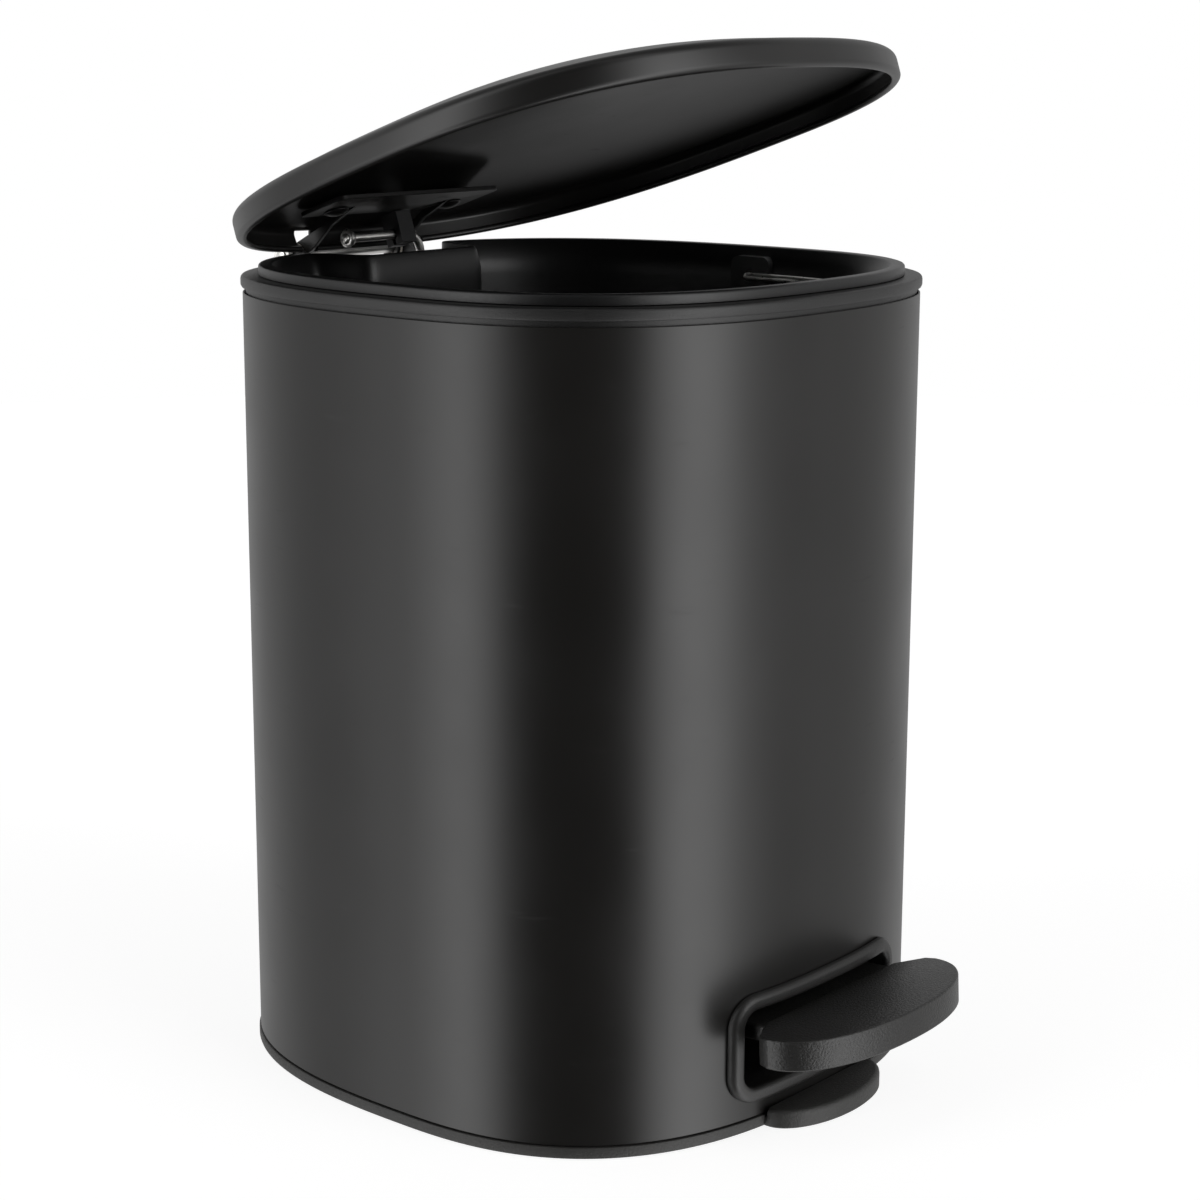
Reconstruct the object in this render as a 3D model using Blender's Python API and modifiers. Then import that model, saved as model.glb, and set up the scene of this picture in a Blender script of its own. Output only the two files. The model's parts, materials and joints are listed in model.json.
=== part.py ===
"""Pedal trash can: steel body, domed lid, plastic bucket, and the pedal linkage that opens the lid.

Front is -Y, the hinge is at +Y, and the floor is z = 0.  Every piece is drawn in the pose with the
lid shut and the pedal lever level, and then its pivot empty turns it into the half-open rest pose.
"""
from math import atan2, copysign, cos, hypot, pi, radians, sin

import bmesh
import bpy
from mathutils import Matrix, Vector

MM = 0.001

# ---- driving dimensions -------------------------------------------------------------------------
BODY_Y = 13.7 * MM             # the body stands this far back, so that the whole bin is centred
SEGMENTS = 60                  # points round the body's plan
HALF_WIDTH = 99.2 * MM         # plan: half width, at WIDEST_Y
FRONT_DEPTH = 86.8 * MM        # plan: from the widest line to the front
BACK_DEPTH = 113.7 * MM        # plan: from the widest line to the back
FRONT_POWER = 2.56             # superellipse powers of the two halves
BACK_POWER = 2.66
WIDEST_Y = -13.45 * MM

BASE_BOTTOM = 0.2 * MM
BASE_FLOOR = 3.6 * MM
SHELL_BOTTOM = 4.3 * MM
SHELL_TOP = 249.3 * MM
SHELL_SHEET = 0.6 * MM
RING_BOTTOM = 251.0 * MM
RING_TOP = 254.6 * MM
RIM_TOP = 258.0 * MM           # top of the bucket's rim, the highest point of the body
RIM_OFFSET = -5.0 * MM
LEDGE_OFFSET = -10.5 * MM      # inner edge of the top ring
BUCKET_OFFSET = -14.2 * MM     # inside face of the bucket at its rim
BUCKET_DRAFT = 3.0 * MM
BUCKET_WALL = 1.4 * MM
BUCKET_FLOOR = 52.0 * MM
RECESS_FRONT_Y = 65.5 * MM     # bucket's recess for the lift rod: inside face, and its two corners
RECESS_CORNER_X = 27.5 * MM
RECESS_MOUTH_X = 43.0 * MM
RECESS_MOUTH_Y = 90.0 * MM

LID_EDGE = 254.95 * MM         # the hem's lowest line
LID_TUCK = -1.9 * MM           # how far out that line is; the hem curls in under the skirt
LID_BULGE = 0.4 * MM           # the skirt's widest line
LID_CURL = 1.75 * MM            # height of the curl
LID_SKIRT = 4.2 * MM           # height of the straight skirt
LID_SHOULDER = 3.7 * MM       # how far in the rounded shoulder goes, and its height
LID_SHOULDER_RISE = 3.3 * MM
LID_DOME_RISE = 9.3 * MM
LID_DOME_POWER = 3.7
LID_SHEET = 0.8 * MM
LID_CREST_Y = -7.7 * MM         # plan centre that the dome's rings shrink towards

HINGE_Y = 105.1 * MM
HINGE_Z = 255.9 * MM
PIN_RADIUS = 2.0 * MM
PIN_HALF_LENGTH = 31.0 * MM
LUG_INNER_X = 24.4 * MM
LUG_OUTER_X = 28.2 * MM
EAR_INNER_X = 21.3 * MM
EAR_OUTER_X = 22.8 * MM
EYE_RADIUS = 4.3 * MM
LID_REST_OPEN = 18.67          # degrees that the lid stands open at rest
PLATE_LOW = 263.7 * MM         # hinge plate under the lid
PLATE_HIGH = 265.2 * MM
RIVET_X = 27.0 * MM
RIVET_Y = 78.0 * MM

WIRE_RADIUS = 1.5 * MM
ROD_REACH = 18.07 * MM         # hinge pin to the rod's upper pivot
ROD_SHUT_RISE = 0.22 * MM      # how far that pivot is above the pin with the lid shut
ROD_SIDE_X = 19.0 * MM
ROD_BEND = 7.0 * MM
ROD_END_X = -17.6 * MM
ROD_HOOK_X = 5.0 * MM

PIVOT_Y = -26.6 * MM           # pedal axle
PIVOT_Z = 20.0 * MM
LEVER_ARM = 114.6 * MM         # axle to the rod's hook
HOOK_RISE = 4.0 * MM           # the hook above the axle with the lever level
PEDAL_REST_UP = 3.0            # degrees that the pedal's front stands up at rest
LEVER_HALF_WIDTH = 15.0 * MM
LEVER_SHEET = 1.8 * MM
AXLE_RADIUS = 2.0 * MM

SLOT_HALF_WIDTH = 38.0 * MM    # opening inside the bezel
SLOT_BOTTOM = 14.9 * MM
SLOT_TOP = 39.8 * MM
SLOT_RADIUS = 5.0 * MM
BEZEL_BAND = 4.9 * MM
BEZEL_STAND = 3.0 * MM
BEZEL_SLEEVE = 1.8 * MM

PEDAL_TOP = 33.3 * MM          # with the lever level
PEDAL_SKIRT = 9.4 * MM
PEDAL_HALF_WIDTH = 46.2 * MM
PEDAL_WIDEST_Y = -114.0 * MM
PEDAL_REACH = 22.0 * MM
PEDAL_POWER = 2.2
PEDAL_BACK_Y = -105.2 * MM
NECK_HALF_WIDTH = 34.5 * MM
NECK_TOP = 32.0 * MM
SCREW_PLACES = ((1, -98.0 * MM), (2, -115.0 * MM))

BAIL_Y = -5.8 * MM
BAIL_Z = 248.3 * MM
BAIL_OFFSET = -18.4 * MM

LIP_HALF_WIDTH = 27.4 * MM     # toe lip in front of the base
LIP_REACH = 13.8 * MM
LIP_TOP = 6.2 * MM
FOOT_RADIUS = 8.0 * MM
FOOT_PLACES = {"front_left": (-60, -60), "front_right": (60, -60),
               "back_left": (-60, 60), "back_right": (60, 60)}
GAP = 0.3 * MM                 # running and seating clearance between neighbouring pieces


# ---- scene, materials and small builders --------------------------------------------------------
def clear_scene():
    for thing in list(bpy.data.objects):
        bpy.data.objects.remove(thing, do_unlink=True)


def new_collection(name):
    group = bpy.data.collections.new(name)
    bpy.context.scene.collection.children.link(group)
    return group


def material(name, colour, roughness, metallic=0.0):
    made = bpy.data.materials.new(name)
    made.use_nodes = True
    shader = made.node_tree.nodes["Principled BSDF"]
    shader.inputs["Base Color"].default_value = (*colour, 1.0)
    shader.inputs["Roughness"].default_value = roughness
    shader.inputs["Metallic"].default_value = metallic
    made.diffuse_color = (*colour, 1.0)
    return made


clear_scene()
PARTS = new_collection("pedal_trash_can")
CUTTERS = new_collection("cutters")


def add_object(name, data, look=None, group=None):
    """Link a piece; its data is drawn about the body's own middle."""
    made = bpy.data.objects.new(name, data)
    made.location = (0, BODY_Y, 0)
    (group or PARTS).objects.link(made)
    if look:
        data.materials.append(look)
    return made


def shade(thing, degrees=35):
    thing.data.polygons.foreach_set("use_smooth", [True] * len(thing.data.polygons))
    thing.data.set_sharp_from_angle(angle=radians(degrees))


def from_bmesh(name, bm, look, group=None):
    bmesh.ops.recalc_face_normals(bm, faces=bm.faces)
    data = bpy.data.meshes.new(name)
    bm.to_mesh(data)
    bm.free()
    thing = add_object(name, data, look, group)
    shade(thing)
    return thing


def loft(name, rows, look, wrap=False, cap_ends=False, group=None):
    """Skin closed rows of points, each row joined to the next one."""
    bm = bmesh.new()
    rings = [[bm.verts.new(point) for point in row] for row in rows]
    pairs = list(zip(rings, rings[1:]))
    if wrap:
        pairs.append((rings[-1], rings[0]))
    for low, high in pairs:
        for i in range(len(low)):
            j = (i + 1) % len(low)
            bm.faces.new((low[i], low[j], high[j], high[i]))
    if cap_ends:
        bm.faces.new(rings[0])
        bm.faces.new(rings[-1])
    return from_bmesh(name, bm, look, group)


def prism(name, outline, axis, low, high, look, group=None):
    """A flat outline, pushed along X or Z from low to high."""
    bm = bmesh.new()
    if axis == "X":
        corners = [bm.verts.new((low, a, b)) for a, b in outline]
        push = Vector((high - low, 0, 0))
    else:
        corners = [bm.verts.new((a, b, low)) for a, b in outline]
        push = Vector((0, 0, high - low))
    face = bm.faces.new(corners)
    grown = bmesh.ops.extrude_face_region(bm, geom=[face])
    moved = [item for item in grown["geom"] if isinstance(item, bmesh.types.BMVert)]
    bmesh.ops.translate(bm, vec=push, verts=moved)
    return from_bmesh(name, bm, look, group)


def block(name, low, high, look=None, group=None):
    bm = bmesh.new()
    bmesh.ops.create_cube(bm, size=1.0)
    size = Vector(high) - Vector(low)
    middle = (Vector(high) + Vector(low)) / 2
    bmesh.ops.scale(bm, vec=size, verts=bm.verts)
    bmesh.ops.translate(bm, vec=middle, verts=bm.verts)
    return from_bmesh(name, bm, look, group)


def cylinder(name, radius, start, end, look=None, sides=20, group=None):
    """A capped cylinder from start to end."""
    start = Vector(start)
    along = Vector(end) - start
    bm = bmesh.new()
    bmesh.ops.create_cone(bm, cap_ends=True, segments=sides, radius1=radius, radius2=radius,
                          depth=along.length)
    turn = along.to_track_quat("Z", "Y").to_matrix().to_4x4()
    bmesh.ops.transform(bm, matrix=Matrix.Translation(start + along / 2) @ turn, verts=bm.verts)
    return from_bmesh(name, bm, look, group)


def sleeve(name, inner, outer, x_low, x_high, y, z, look, sides=16):
    """A round washer or bush on an axis along X."""
    rows = []
    for radius, x in ((inner, x_low), (outer, x_low), (outer, x_high), (inner, x_high)):
        angles = [2 * pi * i / sides for i in range(sides)]
        rows.append([(x, y + radius * cos(a), z + radius * sin(a)) for a in angles])
    return loft(name, rows, look, wrap=True)


def wire(name, points, look):
    """A round wire with filled ends along a list of points."""
    data = bpy.data.curves.new(name, "CURVE")
    data.dimensions = "3D"
    spline = data.splines.new("POLY")
    spline.points.add(len(points) - 1)
    for slot, point in zip(spline.points, points):
        slot.co = (*point, 1.0)
    data.bevel_depth = WIRE_RADIUS
    data.bevel_resolution = 2
    data.use_fill_caps = True
    return add_object(name, data, look)


def hide_tool(tool):
    for group in list(tool.users_collection):
        group.objects.unlink(tool)
    CUTTERS.objects.link(tool)
    tool.hide_render = True
    tool.display_type = "WIRE"


def combine(thing, tool, operation):
    hide_tool(tool)
    step = thing.modifiers.new(tool.name, "BOOLEAN")
    step.operation = operation
    step.solver = "EXACT"
    step.object = tool
    return tool


def arc(centre, radius, start, end, steps):
    """Points on an arc, angles in degrees."""
    angles = [radians(start + (end - start) * i / steps) for i in range(steps + 1)]
    return [(centre[0] + radius * cos(a), centre[1] + radius * sin(a)) for a in angles]


def pivot(name, y, z, turn_degrees, parent=None):
    """An empty on a joint's axis, turned about X from the drawn pose to the rest pose."""
    made = bpy.data.objects.new(name, None)
    PARTS.objects.link(made)
    made.location = (0, y + BODY_Y, z)
    if parent:
        made.parent = parent
        made.location = (0, y - parent["drawn_y"], z - parent["drawn_z"])
    made.rotation_euler = (radians(turn_degrees), 0, 0)
    made["drawn_y"] = y
    made["drawn_z"] = z
    return made


def hang_on(empty, *things):
    """Give the pieces their origin on the empty's axis and parent them to it."""
    shift = Matrix.Translation((0, -empty["drawn_y"], -empty["drawn_z"]))
    for thing in things:
        thing.data.transform(shift)
        thing.location = (0, 0, 0)
        thing.parent = empty


# ---- the body's plan ----------------------------------------------------------------------------
def plan_radius(angle):
    """Distance from the plan's centre to the outline, and the powers and depth on that side."""
    depth, power = (BACK_DEPTH, BACK_POWER) if sin(angle) >= 0 else (FRONT_DEPTH, FRONT_POWER)
    total = abs(cos(angle) / HALF_WIDTH) ** power + abs(sin(angle) / depth) ** power
    return total ** (-1 / power), depth, power


def plan_point(angle, offset):
    """The outline's point at this polar angle, moved outward along the outline's normal."""
    radius, depth, power = plan_radius(angle)
    x = radius * cos(angle)
    y = radius * sin(angle)
    slope_x = copysign(abs(x / HALF_WIDTH) ** (power - 1) / HALF_WIDTH, x)
    slope_y = copysign(abs(y / depth) ** (power - 1) / depth, y)
    length = hypot(slope_x, slope_y)
    return x + offset * slope_x / length, y + WIDEST_Y + offset * slope_y / length


def plan_row(offset, z, scale=1.0):
    """One closed row of the plan at a height; scale shrinks it towards the lid's crest."""
    row = []
    for i in range(SEGMENTS):
        x, y = plan_point(2 * pi * i / SEGMENTS, offset)
        row.append((x * scale, LID_CREST_Y + (y - LID_CREST_Y) * scale, z))
    return row


def front_y(x, offset):
    """Y of the body's front face at this x, stood off by offset."""
    fall = (1 - abs(x / HALF_WIDTH) ** FRONT_POWER) ** (1 / FRONT_POWER)
    return WIDEST_Y - FRONT_DEPTH * fall - offset


# ---- fixed pieces -------------------------------------------------------------------------------
def outer_shell(look):
    """Rolled steel sheet with an opening for the pedal bezel."""
    thing = loft("outer_shell", [plan_row(0, SHELL_BOTTOM), plan_row(0, SHELL_TOP)], look)
    skin = thing.modifiers.new("sheet", "SOLIDIFY")
    skin.thickness = SHELL_SHEET
    skin.offset = -1
    edge = BEZEL_SLEEVE + GAP
    hole = prism("shell_opening", slot_path(edge, long_side_steps=1), "Z", 80 * MM, 110 * MM, None)
    hole.data.transform(Matrix.Rotation(radians(90), 4, "X"))
    combine(thing, hole, "DIFFERENCE")
    return thing


def slot_path(edge, long_side_steps=8):
    """The pedal opening in (x, z), its outline moved outward by edge."""
    half = SLOT_HALF_WIDTH - SLOT_RADIUS
    low = SLOT_BOTTOM + SLOT_RADIUS
    high = SLOT_TOP - SLOT_RADIUS
    radius = SLOT_RADIUS + edge
    between = [half - 2 * half * i / long_side_steps for i in range(1, long_side_steps)]
    path = arc((half, high), radius, 0, 90, 5)
    path += [(x, high + radius) for x in between]
    path += arc((-half, high), radius, 90, 180, 5)
    path += arc((-half, low), radius, 180, 270, 5)
    path += [(-x, low - radius) for x in between]
    path += arc((half, low), radius, 270, 360, 5)
    return path


def pedal_bezel(look):
    """Plastic frame round the pedal opening: a rounded band outside and a sleeve through the sheet."""
    band = BEZEL_BAND
    stand = BEZEL_STAND
    section = [(0, -6 * MM), (0, stand - 1.3 * MM), (0.4 * MM, stand - 0.4 * MM), (1.4 * MM, stand),
               (band - 1.4 * MM, stand), (band - 0.4 * MM, stand - 0.4 * MM),
               (band, stand - 1.3 * MM), (band, GAP), (BEZEL_SLEEVE, GAP), (BEZEL_SLEEVE, -6 * MM)]
    rows = []
    for edge, offset in section:
        rows.append([(x, front_y(x, offset), z) for x, z in slot_path(edge)])
    return loft("pedal_bezel", rows, look, wrap=True)


def lug_outline():
    """Side view of a hinge lug, from the ring's flange back to the eye round the pin."""
    eye = arc((HINGE_Y, HINGE_Z), EYE_RADIUS, 140, -100, 14)
    start = [(88.0 * MM, 251.5 * MM), (88.0 * MM, 254.3 * MM), (94.0 * MM, 254.3 * MM)]
    return start + eye + [(101.5 * MM, 251.5 * MM)]


def top_ring(look):
    """Plastic collar on the shell: flange, ledge for the bucket, skirt and two hinge lugs."""
    soft = 0.3 * MM
    edge = 0.6 * MM
    profile = [(edge, RING_BOTTOM + soft), (edge, RING_TOP - soft), (edge - soft, RING_TOP),
               (LEDGE_OFFSET, RING_TOP), (LEDGE_OFFSET, RING_BOTTOM), (-3.0 * MM, RING_BOTTOM),
               (-3.0 * MM, 240 * MM), (-1.0 * MM, 240 * MM), (-1.0 * MM, RING_BOTTOM),
               (edge - soft, RING_BOTTOM)]
    thing = loft("top_ring", [plan_row(offset, z) for offset, z in profile], look, wrap=True)
    half = 24.0 * MM
    notch = block("rod_notch", (-half, 80 * MM, 250 * MM), (half, 97.6 * MM, 256 * MM))
    combine(thing, notch, "DIFFERENCE")
    relief = block("rod_relief", (-half, 80 * MM, 238 * MM), (half, 99 * MM, 250.9 * MM))
    combine(thing, relief, "DIFFERENCE")
    for side, low, high in (("left", -LUG_OUTER_X, -LUG_INNER_X), ("right", LUG_INNER_X, LUG_OUTER_X)):
        lug = prism("hinge_lug_" + side, lug_outline(), "X", low, high, None)
        combine(thing, lug, "UNION")
    bore = cylinder("lug_bore", PIN_RADIUS + GAP, (-60 * MM, HINGE_Y, HINGE_Z),
                    (60 * MM, HINGE_Y, HINGE_Z))
    combine(thing, bore, "DIFFERENCE")
    return thing


def base_tray(look):
    """Plastic base: floor, rim under the steel, upstand inside it, toe lip, axle posts, foot pockets."""
    rim = 0.5 * MM
    profile = [(-12 * MM, BASE_BOTTOM), (rim - 0.6 * MM, BASE_BOTTOM), (rim, 0.8 * MM), (rim, 3.9 * MM),
               (-1.0 * MM, 3.9 * MM), (-1.0 * MM, 12.4 * MM), (-3.2 * MM, 12.4 * MM),
               (-3.2 * MM, BASE_FLOOR)]
    thing = loft("base_tray", [plan_row(offset, z) for offset, z in profile], look, cap_ends=True)
    front = WIDEST_Y - FRONT_DEPTH
    half = LIP_HALF_WIDTH
    curve = []
    for i in range(25):
        angle = -pi * i / 24
        curve.append((half * cos(angle), front - GAP + (LIP_REACH - GAP) * sin(angle)))
    root = [(half, front + 6 * MM)] + curve + [(-half, front + 6 * MM)]
    combine(thing, prism("toe_lip_root", root, "Z", BASE_BOTTOM, BASE_FLOOR, None), "UNION")
    combine(thing, prism("toe_lip", curve, "Z", BASE_BOTTOM, LIP_TOP, None), "UNION")
    for side, low, high in (("left", -21.5 * MM, -18 * MM), ("right", 18 * MM, 21.5 * MM)):
        outline = [(PIVOT_Y - 12 * MM, 3 * MM), (PIVOT_Y - 6 * MM, PIVOT_Z)]
        outline += arc((PIVOT_Y, PIVOT_Z), 6 * MM, 180, 0, 10)[1:-1]
        outline += [(PIVOT_Y + 6 * MM, PIVOT_Z), (PIVOT_Y + 12 * MM, 3 * MM)]
        combine(thing, prism("axle_post_" + side, outline, "X", low, high, None), "UNION")
    bore = cylinder("post_bore", AXLE_RADIUS + GAP, (-30 * MM, PIVOT_Y, PIVOT_Z),
                    (30 * MM, PIVOT_Y, PIVOT_Z))
    combine(thing, bore, "DIFFERENCE")
    for place, (x, y) in FOOT_PLACES.items():
        pocket = cylinder("pocket_" + place, FOOT_RADIUS + GAP, (x * MM, y * MM, -1 * MM),
                          (x * MM, y * MM, 2.3 * MM))
        combine(thing, pocket, "DIFFERENCE")
    return thing


def bucket_angles():
    """Polar angles round the bucket, with the recess's four corners among them."""
    angles = [2 * pi * i / SEGMENTS for i in range(SEGMENTS)]
    inner = atan2(RECESS_FRONT_Y - WIDEST_Y, RECESS_CORNER_X)
    outer = atan2(RECESS_MOUTH_Y - WIDEST_Y, RECESS_MOUTH_X)
    step = radians(1.2)
    corners = [inner - step, inner + step, outer - step]
    angles += corners + [pi - corner for corner in corners]
    return sorted(angles)


def bucket_row(offset, z, recess_shift):
    """One row of the bucket: the body's plan, pushed in by the recess at the back."""
    row = []
    lean = (RECESS_MOUTH_X - RECESS_CORNER_X) / (RECESS_MOUTH_Y - RECESS_FRONT_Y)
    for angle in bucket_angles():
        x, y = plan_point(angle, offset)
        side = abs(cos(angle))
        up = sin(angle)
        if up > 0:
            front = (RECESS_FRONT_Y + recess_shift - WIDEST_Y) / up
            corner_x = RECESS_CORNER_X - recess_shift * 0.6
            slack = side - lean * up
            mouth = corner_x - lean * (RECESS_FRONT_Y + recess_shift - WIDEST_Y)
            reach = front
            if slack > 0 and front * side > corner_x:
                reach = mouth / slack
            if front * side > corner_x and slack <= 0:
                reach = 1.0
            if reach > 0 and reach < hypot(x, y - WIDEST_Y):
                x = copysign(reach * side, cos(angle))
                y = WIDEST_Y + reach * up
        row.append((x, y, z))
    return row


def inner_bucket(look):
    """Lift-out bucket: tapered wall, rolled rim that sits on the ring, recess for the lift rod."""
    rows = [bucket_row(BUCKET_OFFSET - BUCKET_DRAFT - 4 * MM, BUCKET_FLOOR, 0),
            bucket_row(BUCKET_OFFSET - BUCKET_DRAFT, BUCKET_FLOOR + 4 * MM, 0),
            bucket_row(BUCKET_OFFSET, RIM_TOP - 1.5 * MM, 0),
            bucket_row(BUCKET_OFFSET + 1.5 * MM, RIM_TOP, 1.5 * MM),
            bucket_row(RIM_OFFSET - 0.8 * MM, RIM_TOP, 3.2 * MM),
            bucket_row(RIM_OFFSET, RIM_TOP - 0.8 * MM, 4.0 * MM),
            bucket_row(RIM_OFFSET, RING_TOP + GAP, 4.0 * MM)]
    bm = bmesh.new()
    rings = [[bm.verts.new(point) for point in row] for row in rows]
    bm.faces.new(rings[0])
    for low, high in zip(rings, rings[1:]):
        for i in range(len(low)):
            j = (i + 1) % len(low)
            bm.faces.new((low[i], low[j], high[j], high[i]))
    thing = from_bmesh("inner_bucket", bm, look)
    wall = thing.modifiers.new("wall", "SOLIDIFY")
    wall.thickness = BUCKET_WALL
    wall.offset = -1
    wall.use_even_offset = True
    return thing


def bail_holes(thing):
    """Pads and through holes for the bail's ends in the bucket's two side walls."""
    wall = HALF_WIDTH + BUCKET_OFFSET
    half = 8.0 * MM
    corner = 3.0 * MM
    top = RIM_TOP - 1.4 * MM
    bottom = BAIL_Z - 9 * MM
    for side, sign in (("left", -1), ("right", 1)):
        outline = arc((BAIL_Y + half - corner, top - corner), corner, 0, 90, 4)
        outline += arc((BAIL_Y - half + corner, top - corner), corner, 90, 180, 4)
        outline += [(BAIL_Y - half, bottom), (BAIL_Y + half, bottom)]
        low, high = sorted((sign * (wall - 1.4 * MM), sign * (wall + 0.6 * MM)))
        combine(thing, prism("bail_pad_" + side, outline, "X", low, high, None), "UNION")
        hole = cylinder("bail_hole_" + side, WIRE_RADIUS + GAP, (sign * (wall - 7 * MM), BAIL_Y, BAIL_Z),
                        (sign * (wall + 7 * MM), BAIL_Y, BAIL_Z))
        combine(thing, hole, "DIFFERENCE")


def feet(look):
    for place, (x, y) in FOOT_PLACES.items():
        cylinder("foot_" + place, FOOT_RADIUS, (x * MM, y * MM, 0), (x * MM, y * MM, 2.0 * MM), look)


def hinge_hardware(steel, nylon):
    cylinder("hinge_pin", PIN_RADIUS, (-PIN_HALF_LENGTH, HINGE_Y, HINGE_Z),
             (PIN_HALF_LENGTH, HINGE_Y, HINGE_Z), steel, sides=16)
    for side, sign in (("left", -1), ("right", 1)):
        low, high = sorted((sign * (LUG_OUTER_X + GAP), sign * (PIN_HALF_LENGTH - 0.6 * MM)))
        sleeve("hinge_pin_nut_" + side, PIN_RADIUS + GAP, 3.8 * MM, low, high, HINGE_Y, HINGE_Z, steel)
        low, high = sorted((sign * (EAR_OUTER_X + GAP), sign * (LUG_INNER_X - GAP)))
        sleeve("hinge_washer_" + side, PIN_RADIUS + GAP, 3.9 * MM, low, high, HINGE_Y, HINGE_Z, nylon)


def axle_hardware(steel, nylon):
    half = 25.0 * MM
    cylinder("pedal_axle", AXLE_RADIUS, (-half, PIVOT_Y, PIVOT_Z), (half, PIVOT_Y, PIVOT_Z), steel,
             sides=16)
    for side, sign in (("left", -1), ("right", 1)):
        low, high = sorted((sign * 21.8 * MM, sign * 23.2 * MM))
        sleeve("axle_clip_" + side, AXLE_RADIUS + GAP, 4.5 * MM, low, high, PIVOT_Y, PIVOT_Z, steel)
        low, high = sorted((sign * (LEVER_HALF_WIDTH + GAP), sign * (18 * MM - GAP)))
        sleeve("axle_bush_" + side, AXLE_RADIUS + GAP, 4.0 * MM, low, high, PIVOT_Y, PIVOT_Z, nylon)


# ---- lid ----------------------------------------------------------------------------------------
def lid_face(depth):
    """The skirt's top, the shoulder and the dome as (offset, z, scale), this deep in the sheet."""
    low = LID_EDGE + LID_CURL + LID_SKIRT
    edge = LID_BULGE - LID_SHOULDER
    reach = LID_SHOULDER - depth
    rise = LID_SHOULDER_RISE - depth
    face = [(edge + reach * cos(a), low + rise * sin(a), 1.0)
            for a in [radians(15 * i) for i in range(7)]]
    for scale in (0.93, 0.82, 0.68, 0.45, 0.15):
        face.append((edge, low + rise + LID_DOME_RISE * (1 - scale ** LID_DOME_POWER), scale))
    return face


def lid_shell(look):
    """Deep-drawn steel lid with a rolled hem, notched at the back for the hinge bracket."""
    curl = [(LID_TUCK + (LID_BULGE - LID_TUCK) * sin(a), LID_EDGE + LID_CURL * (1 - cos(a)), 1.0)
            for a in [radians(22.5 * i) for i in range(5)]]
    outside = lid_face(0)
    inside = lid_face(LID_SHEET)
    hem = [(LID_TUCK - 0.6 * MM, LID_EDGE + 0.3 * MM, 1.0), (LID_TUCK - 0.9 * MM, LID_EDGE + 1.0 * MM, 1.0),
           (LID_TUCK - 0.6 * MM, LID_EDGE + 1.8 * MM, 1.0), (LID_BULGE - 1.1 * MM, LID_EDGE + 2.4 * MM, 1.0)]
    rows = outside[::-1] + curl[::-1] + hem + inside
    thing = loft("lid_shell", [plan_row(*row) for row in rows], look, cap_ends=True)
    half = PIN_HALF_LENGTH + 1 * MM
    notch = block("lid_notch", (-half, 88 * MM, 250 * MM), (half, 104 * MM, 262.6 * MM))
    combine(thing, notch, "DIFFERENCE")
    return thing, notch


def lid_hinge_bracket(look):
    """Steel plate under the lid with two ears that reach back to the pin."""
    thing = block("lid_hinge_bracket", (-38 * MM, 63 * MM, PLATE_LOW), (38 * MM, 85 * MM, PLATE_HIGH),
                  look)
    tools = []
    eye = arc((HINGE_Y, HINGE_Z), EYE_RADIUS - GAP, 90, -165, 16)
    outline = [(70 * MM, 264.4 * MM), (85 * MM, 264.4 * MM), (90 * MM, 262.1 * MM)] + eye
    outline += [(98.0 * MM, 255.5 * MM), (86 * MM, 261.0 * MM)]
    for side, low, high in (("left", -EAR_OUTER_X, -EAR_INNER_X), ("right", EAR_INNER_X, EAR_OUTER_X)):
        tools.append(combine(thing, prism("bracket_ear_" + side, outline, "X", low, high, None),
                             "UNION"))
    bore = cylinder("ear_bore", PIN_RADIUS + GAP, (-45 * MM, HINGE_Y, HINGE_Z),
                    (45 * MM, HINGE_Y, HINGE_Z))
    tools.append(combine(thing, bore, "DIFFERENCE"))
    for side, sign in (("left", -1), ("right", 1)):
        x = sign * RIVET_X
        hole = cylinder("rivet_hole_" + side, 2.1 * MM, (x, RIVET_Y, PLATE_LOW - 3 * MM),
                        (x, RIVET_Y, PLATE_HIGH + 3 * MM))
        tools.append(combine(thing, hole, "DIFFERENCE"))
    return thing, tools


def rivet(side, sign, look):
    """Rivet with a domed head under the plate and its shank up to the lid's skin."""
    x = sign * RIVET_X
    profile = [(0.8, 261.9), (3.0, 262.3), (4.2, 263.4), (1.8, 263.4), (1.8, 265.9)]
    rows = []
    for radius, z in profile:
        angles = [2 * pi * i / 20 for i in range(20)]
        rows.append([(x + radius * MM * cos(a), RIVET_Y + radius * MM * sin(a), z * MM)
                     for a in angles])
    return loft("lid_rivet_" + side, rows, look, cap_ends=True)


def rod_pivot_place():
    """Where the rod's upper pivot is with the lid shut."""
    return HINGE_Y - ROD_REACH, HINGE_Z + ROD_SHUT_RISE


def lift_clip(look):
    """Plastic block under the bracket that holds the lift rod's upper end."""
    y, z = rod_pivot_place()
    low = (5.5 * MM, y - 4.0 * MM, z - 3.6 * MM)
    high = (12.5 * MM, y + 3.6 * MM, PLATE_LOW - GAP)
    thing = block("lift_clip", low, high, look)
    hole = cylinder("clip_hole", WIRE_RADIUS + GAP, (0, y, z), (20 * MM, y, z), sides=20)
    combine(thing, hole, "DIFFERENCE")
    return thing, hole


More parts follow.
